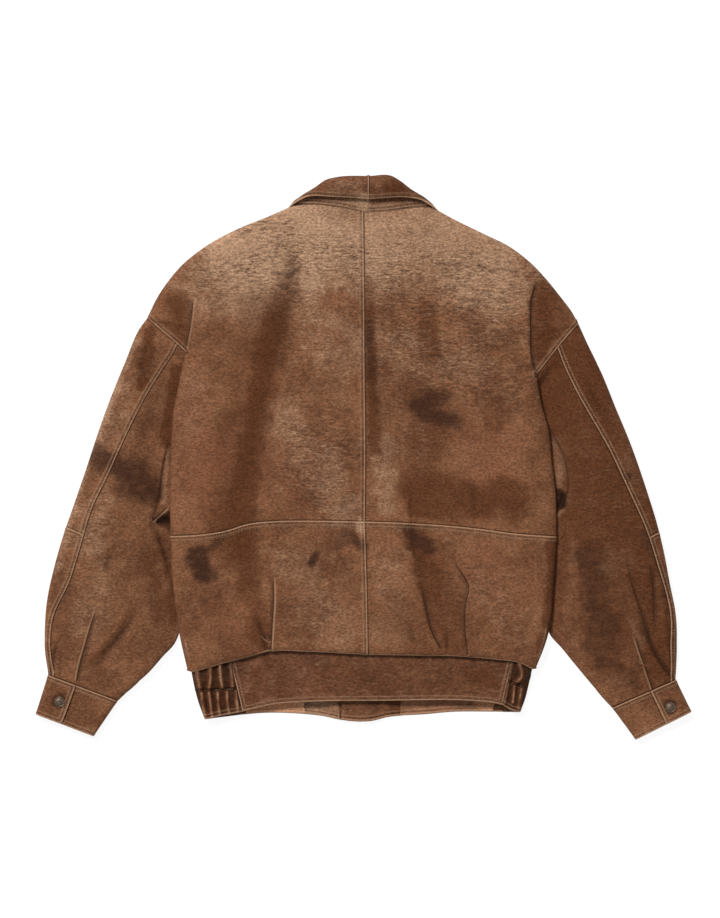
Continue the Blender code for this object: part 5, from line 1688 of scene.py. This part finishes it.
def mix(tree, factor, a, b, blend="MIX"):
    node = add_node(tree, "ShaderNodeMix", data_type="RGBA", blend_type=blend)
    for socket, value in ((node.inputs["Factor"], factor), (node.inputs[6], a), (node.inputs[7], b)):
        if isinstance(value, (int, float)):
            socket.default_value = value
        elif isinstance(value, tuple):
            socket.default_value = (*value, 1)
        else:
            tree.links.new(value, socket)
    return node.outputs[2]


def noise_node(tree, vector, scale, detail=3.0, roughness=0.55, stretch=None):
    node = add_node(tree, "ShaderNodeTexNoise")
    node.inputs["Scale"].default_value = scale
    node.inputs["Detail"].default_value = detail
    node.inputs["Roughness"].default_value = roughness
    if stretch:
        mapping = add_node(tree, "ShaderNodeMapping")
        mapping.inputs["Scale"].default_value = stretch
        tree.links.new(vector, mapping.inputs["Vector"])
        vector = mapping.outputs["Vector"]
    tree.links.new(vector, node.inputs["Vector"])
    return node.outputs["Fac"]


# %% Colour, roughness and height of worn leather
def leather_group():
    """The shader group that draws every kind of wear, and the painted shade and highlights, from the
    layers of a sheet.
    """
    group = bpy.data.node_groups.new("worn nubuck", "ShaderNodeTree")
    sockets = [("Vector", "INPUT", "Vector")]
    sockets += [(name, "INPUT", "Color") for name in ("Deep", "Middle", "Rubbed")]
    sockets += [(key.capitalize(), "INPUT", "Float") for key in LAYERS]
    sockets += [("Color", "OUTPUT", "Color")]
    sockets += [(name, "OUTPUT", "Float") for name in ("Roughness", "Height")]
    for name, way, kind in sockets:
        group.interface.new_socket(name, in_out=way, socket_type="NodeSocket" + kind)
    at = group.nodes.new("NodeGroupInput").outputs
    sink = group.nodes.new("NodeGroupOutput")
    times, plus, minus, size = (
        partial(math_node, group, operation) for operation in ("MULTIPLY", "ADD", "SUBTRACT", "ABSOLUTE")
    )
    noise_of = partial(noise_node, group, at["Vector"])
    level, blend = partial(ramp, group), partial(mix, group)

    def paint(factor, tint):
        nonlocal colour
        colour = blend(factor, colour, tint)

    def shade_by(factor):
        nonlocal colour
        colour = blend(1.0, colour, factor, "MULTIPLY")


    broad = noise_of(16, 4, 0.6)
    patch = noise_of(60, 5, 0.65, (1.0, 1.25, 1.0))
    speck = noise_of(330, 4, 0.7, (0.75, 1.3, 1.0))
    nap = noise_of(900, 3, 0.7, (0.45, 1.6, 1.0))
    crease = noise_of(190, 3, 0.6, (0.5, 1.9, 1.0))

    streak = noise_of(75, 4, 0.65, (0.4, 1.5, 1.0))
    streak = times(minus(streak, 0.5), 1.1)
    bend = noise_of(46, 3, 0.6, (0.45, 1.0, 1.0))
    axes = add_node(group, "ShaderNodeSeparateXYZ")
    group.links.new(at["Vector"], axes.inputs["Vector"])
    phase = times(axes.outputs["Y"], 840.0)
    phase = plus(phase, times(bend, 36.0))
    ripple = math_node(group, "SINE", phase)
    rippled = times(at["Fleck"], level(patch, 0.42, 0.58))

    colour = blend(level(broad, 0.36, 0.60), at["Deep"], at["Middle"])
    blotch = noise_of(34, 5, 0.7, (1.0, 1.2, 1.0))
    paint(level(blotch, 0.48, 0.70, 0.0, 0.6), at["Deep"])
    paint(level(patch, 0.50, 0.72, 0.0, 0.35), at["Rubbed"])
    ragged = times(minus(speck, 0.5), 0.5)
    ragged = plus(minus(patch, 0.5), ragged)
    # Light marks: rubbed nap, and painted light on the collar stand and the facing.
    worn = plus(at["Light"], times(ragged, 0.6))
    worn = plus(worn, times(streak, 0.45))
    worn = times(level(worn, 0.0, 1.1), level(at["Light"], 0.0, 0.3))
    paint(worn, (0.48, 0.285, 0.172))
    paint(times(at["Red"], 0.8), (0.215, 0.080, 0.040))
    uneven = plus(ragged, minus(blotch, 0.5))
    uneven = plus(uneven, streak)
    shift = times(uneven, 0.55)
    # Brown marks: deep dye, and painted shade where they follow folds and the sides turned from the
    # light.
    brown = plus(at["Brown"], shift)
    brown = times(level(brown, -0.1, 1.1), level(at["Brown"], 0.0, 0.4))
    paint(times(brown, 0.92), (0.102, 0.033, 0.0115))
    # Dark marks: oil and water stains, and painted shadow in the underarm pockets and round the cuff
    # snaps.
    stain_and_painted_shadow = plus(at["Dark"], shift)
    stain_and_painted_shadow = times(level(stain_and_painted_shadow, 0.0, 1.15), level(at["Dark"], 0.0, 0.3))
    paint(stain_and_painted_shadow, (0.053, 0.020, 0.010))
    wrinkle = blend(at["Fleck"], (1, 1, 1), level(crease, 0.38, 0.62, 1.12, 0.72))
    shade_by(wrinkle)
    scuff = times(level(crease, 0.60, 0.67), at["Fleck"])
    paint(times(scuff, 0.8), (0.085, 0.034, 0.018))
    valley = times(level(ripple, 0.25, 0.95, 0.0, 0.50), rippled)
    paint(valley, (0.100, 0.041, 0.021))
    top = times(level(ripple, -0.95, -0.2, 0.26, 0.0), rippled)
    top = times(top, minus(1.0, at["Dark"], True))
    paint(top, (0.45, 0.26, 0.15))
    wavy = noise_of(112, 2, 0.5, (0.42, 1.7, 1.0))
    thin = size(minus(wavy, 0.5))
    thin = times(level(thin, 0.008, 0.045, 0.75, 0.0), at["Fleck"])
    thin = times(thin, level(blotch, 0.44, 0.60))
    paint(thin, (0.080, 0.032, 0.016))
    # Raised places of the folds: rubbed lighter, and a painted highlight.
    raised = times(level(at["Shade"], 0.12, 0.9), 0.65)
    paint(raised, (0.44, 0.25, 0.145))
    grain = level(speck, 0.36, 0.64, 0.68, 1.32)
    shade_by(grain)
    fine = level(nap, 0.30, 0.70, 0.78, 1.24)
    shade_by(fine)
    # Painted shade in the hollows of the folds.
    painted_hollow_shade = level(at["Shade"], -1.0, -0.02, 0.38, 1.0)
    shade_by(painted_hollow_shade)
    # Painted shadow on the low side of a lap, darkest in a line right at its edge.
    under = times(level(at["Lap"], -7.5, -0.3), at["Clear"])
    under = times(under, level(at["Lap"], -0.6, 0.8, 0.72, 0.0))
    paint(under, (0.050, 0.020, 0.010))
    lap_shadow_core = size(plus(at["Lap"], 0.5))
    lap_shadow_core = times(level(lap_shadow_core, 0.3, 1.2, 0.75, 0.0), level(at["Clear"], 0.3, 0.8))
    paint(lap_shadow_core, (0.030, 0.012, 0.007))
    # A painted highlight along the crest of a lap.
    over = size(minus(at["Lap"], 1.5))
    over = times(level(over, 0.3, 2.0, 0.58, 0.0), at["Crest"])
    paint(over, (0.44, 0.25, 0.145))

    # Painted shadow in the dip beside a seam's low side.
    gap = level(at["Gap"], 0.7, 2.4, 0.68, 0.0)
    paint(gap, (0.042, 0.017, 0.009))
    broken = level(speck, 0.25, 0.55, 0.5, 1.0)
    rubbed = times(level(at["Ridge"], 1.2, 2.5, 0.72, 0.0), broken)
    paint(rubbed, (0.50, 0.295, 0.175))
    row = size(minus(at["Ridge"], 3.8))
    row = level(row, 0.3, 1.4, 0.42, 0.0)
    paint(row, (0.055, 0.022, 0.012))
    welt = size(minus(at["Ridge"], 6.0))
    welt = times(level(welt, 0.4, 1.6, 0.30, 0.0), broken)
    paint(welt, (0.42, 0.24, 0.14))
    group.links.new(colour, sink.inputs["Color"])

    rough = level(patch, 0.3, 0.7, 0.82, 0.66)
    rough = minus(rough, times(rubbed, 0.15))
    group.links.new(rough, sink.inputs["Roughness"])
    height = times(nap, 0.35)
    height = plus(height, times(speck, 0.7))
    folded = times(crease, level(at["Fleck"], 0.0, 1.0, 0.9, 2.6))
    height = plus(height, folded)
    ripple = times(times(ripple, rippled), -0.35)
    height = plus(height, ripple)
    group.links.new(height, sink.inputs["Height"])
    return group


# %% [markdown]
# Each slot is its own material: the same group with its own colours. The Principled shader stays
# outside the group, with a little sheen for the nap.

# %% Materials
WORN = leather_group()


def new_material(name, **values):
    """A material with its node tree, its shader set to these values, and the place on the object."""
    material = bpy.data.materials.new(name)
    material.use_nodes = True
    tree = material.node_tree
    shader = tree.nodes["Principled BSDF"]
    for key, value in values.items():
        shader.inputs[key.replace("_", " ")].default_value = value
    return material, tree, shader, tree.nodes.new("ShaderNodeTexCoord").outputs["Object"]


def leather_material(name, deep, middle, rubbed, bump, specular):
    material, tree, shader, place = new_material(name, Sheen_Weight=0.02, Sheen_Roughness=0.5)
    shader.inputs["Specular IOR Level"].default_value = specular
    group = add_node(tree, "ShaderNodeGroup", node_tree=WORN)
    tree.links.new(place, group.inputs["Vector"])
    for key, colour in (("Deep", deep), ("Middle", middle), ("Rubbed", rubbed)):
        group.inputs[key].default_value = (*colour, 1)
    for key in LAYERS:
        layer = add_node(tree, "ShaderNodeAttribute", attribute_name=key)
        tree.links.new(layer.outputs["Fac"], group.inputs[key.capitalize()])
    tree.links.new(group.outputs["Color"], shader.inputs["Base Color"])
    tree.links.new(group.outputs["Roughness"], shader.inputs["Roughness"])
    height = tree.nodes.new("ShaderNodeBump")
    height.inputs["Strength"].default_value = bump
    height.inputs["Distance"].default_value = 0.0006
    tree.links.new(group.outputs["Height"], height.inputs["Height"])
    tree.links.new(height.outputs["Normal"], shader.inputs["Normal"])
    return material


def thread_material():
    material, tree, shader, place = new_material("brown thread", Roughness=0.8)
    worn = noise_node(tree, place, 140, 3)
    colour = mix(tree, ramp(tree, worn, 0.35, 0.65), (0.10, 0.045, 0.024), (0.42, 0.25, 0.15))
    tree.links.new(colour, shader.inputs["Base Color"])
    return material


def brass_material():
    material, tree, shader, place = new_material("dark brass", Metallic=0.7)
    patina = noise_node(tree, place, 420, 4)
    colour = mix(tree, ramp(tree, patina, 0.35, 0.65), (0.10, 0.070, 0.047), (0.20, 0.145, 0.100))
    tree.links.new(colour, shader.inputs["Base Color"])
    tree.links.new(ramp(tree, patina, 0.3, 0.7, 0.38, 0.6), shader.inputs["Roughness"])
    return material


MATERIALS = {
    "leather": leather_material(
        "worn leather", (0.152, 0.061, 0.028), (0.232, 0.099, 0.047), (0.340, 0.173, 0.090), 0.8, 0.08,
    ),
    "leather_dark": leather_material(
        "darker leather", (0.114, 0.045, 0.022), (0.170, 0.070, 0.034), (0.295, 0.145, 0.076), 0.8, 0.08,
    ),
    # The facing's colours are set light, as painted light against the shadow of the back band that lies
    # over it.
    "facing": leather_material(
        "tan facing", (0.700, 0.325, 0.165), (0.760, 0.365, 0.190), (0.800, 0.430, 0.240), 0.2, 0.3,
    ),
    "snap": brass_material(),
    "thread": thread_material(),
}
for piece, slot in SHEETS:
    piece.data.materials.append(MATERIALS[slot])
print("materials", list(MATERIALS))

# %% [markdown]
# The camera looks straight down from far away, with a long lens, so that the jacket's height
# hardly shifts it. The floor is pale and lit evenly; soft light comes from the collar side.

# %% Camera
PHOTO_HEIGHT = 918 * PIXEL * MM
LENS = 250.0
SENSOR = 36.0
camera_data = bpy.data.cameras.new("camera")
camera_data.lens = LENS
camera_data.sensor_width = SENSOR
camera_data.clip_end = 50
camera = new_object("camera", camera_data)
camera.location = (-0.00505, -0.0018, PHOTO_HEIGHT * LENS / SENSOR + 0.015)
bpy.context.scene.camera = camera

# %% Floor and light
def stage():
    shape = bmesh.new()
    bmesh.ops.create_grid(shape, x_segments=1, y_segments=1, size=6)
    floor = new_object("floor", mesh_from("floor", shape))
    floor.data.materials.append(new_material(
        "pale floor", Base_Color=(0.22, 0.22, 0.22, 1), Roughness=0.9, Specular_IOR_Level=0.0,
        Emission_Color=(1, 1, 1, 1), Emission_Strength=0.89,
    )[0])

    world = bpy.data.worlds.new("soft light")
    world.use_nodes = True
    background = world.node_tree.nodes["Background"].inputs
    background["Color"].default_value = (1, 1, 1, 1)
    background["Strength"].default_value = 0.36
    bpy.context.scene.world = world
    sun = bpy.data.lights.new("window", "SUN")
    sun.energy = 2.45
    sun.angle = math.radians(14)
    lamp = new_object("window", sun)
    lamp.rotation_euler = Vector((-0.47, 0.66, 1.0)).to_track_quat("Z", "Y").to_euler()
    bpy.context.scene.view_settings.view_transform = "Standard"


stage()
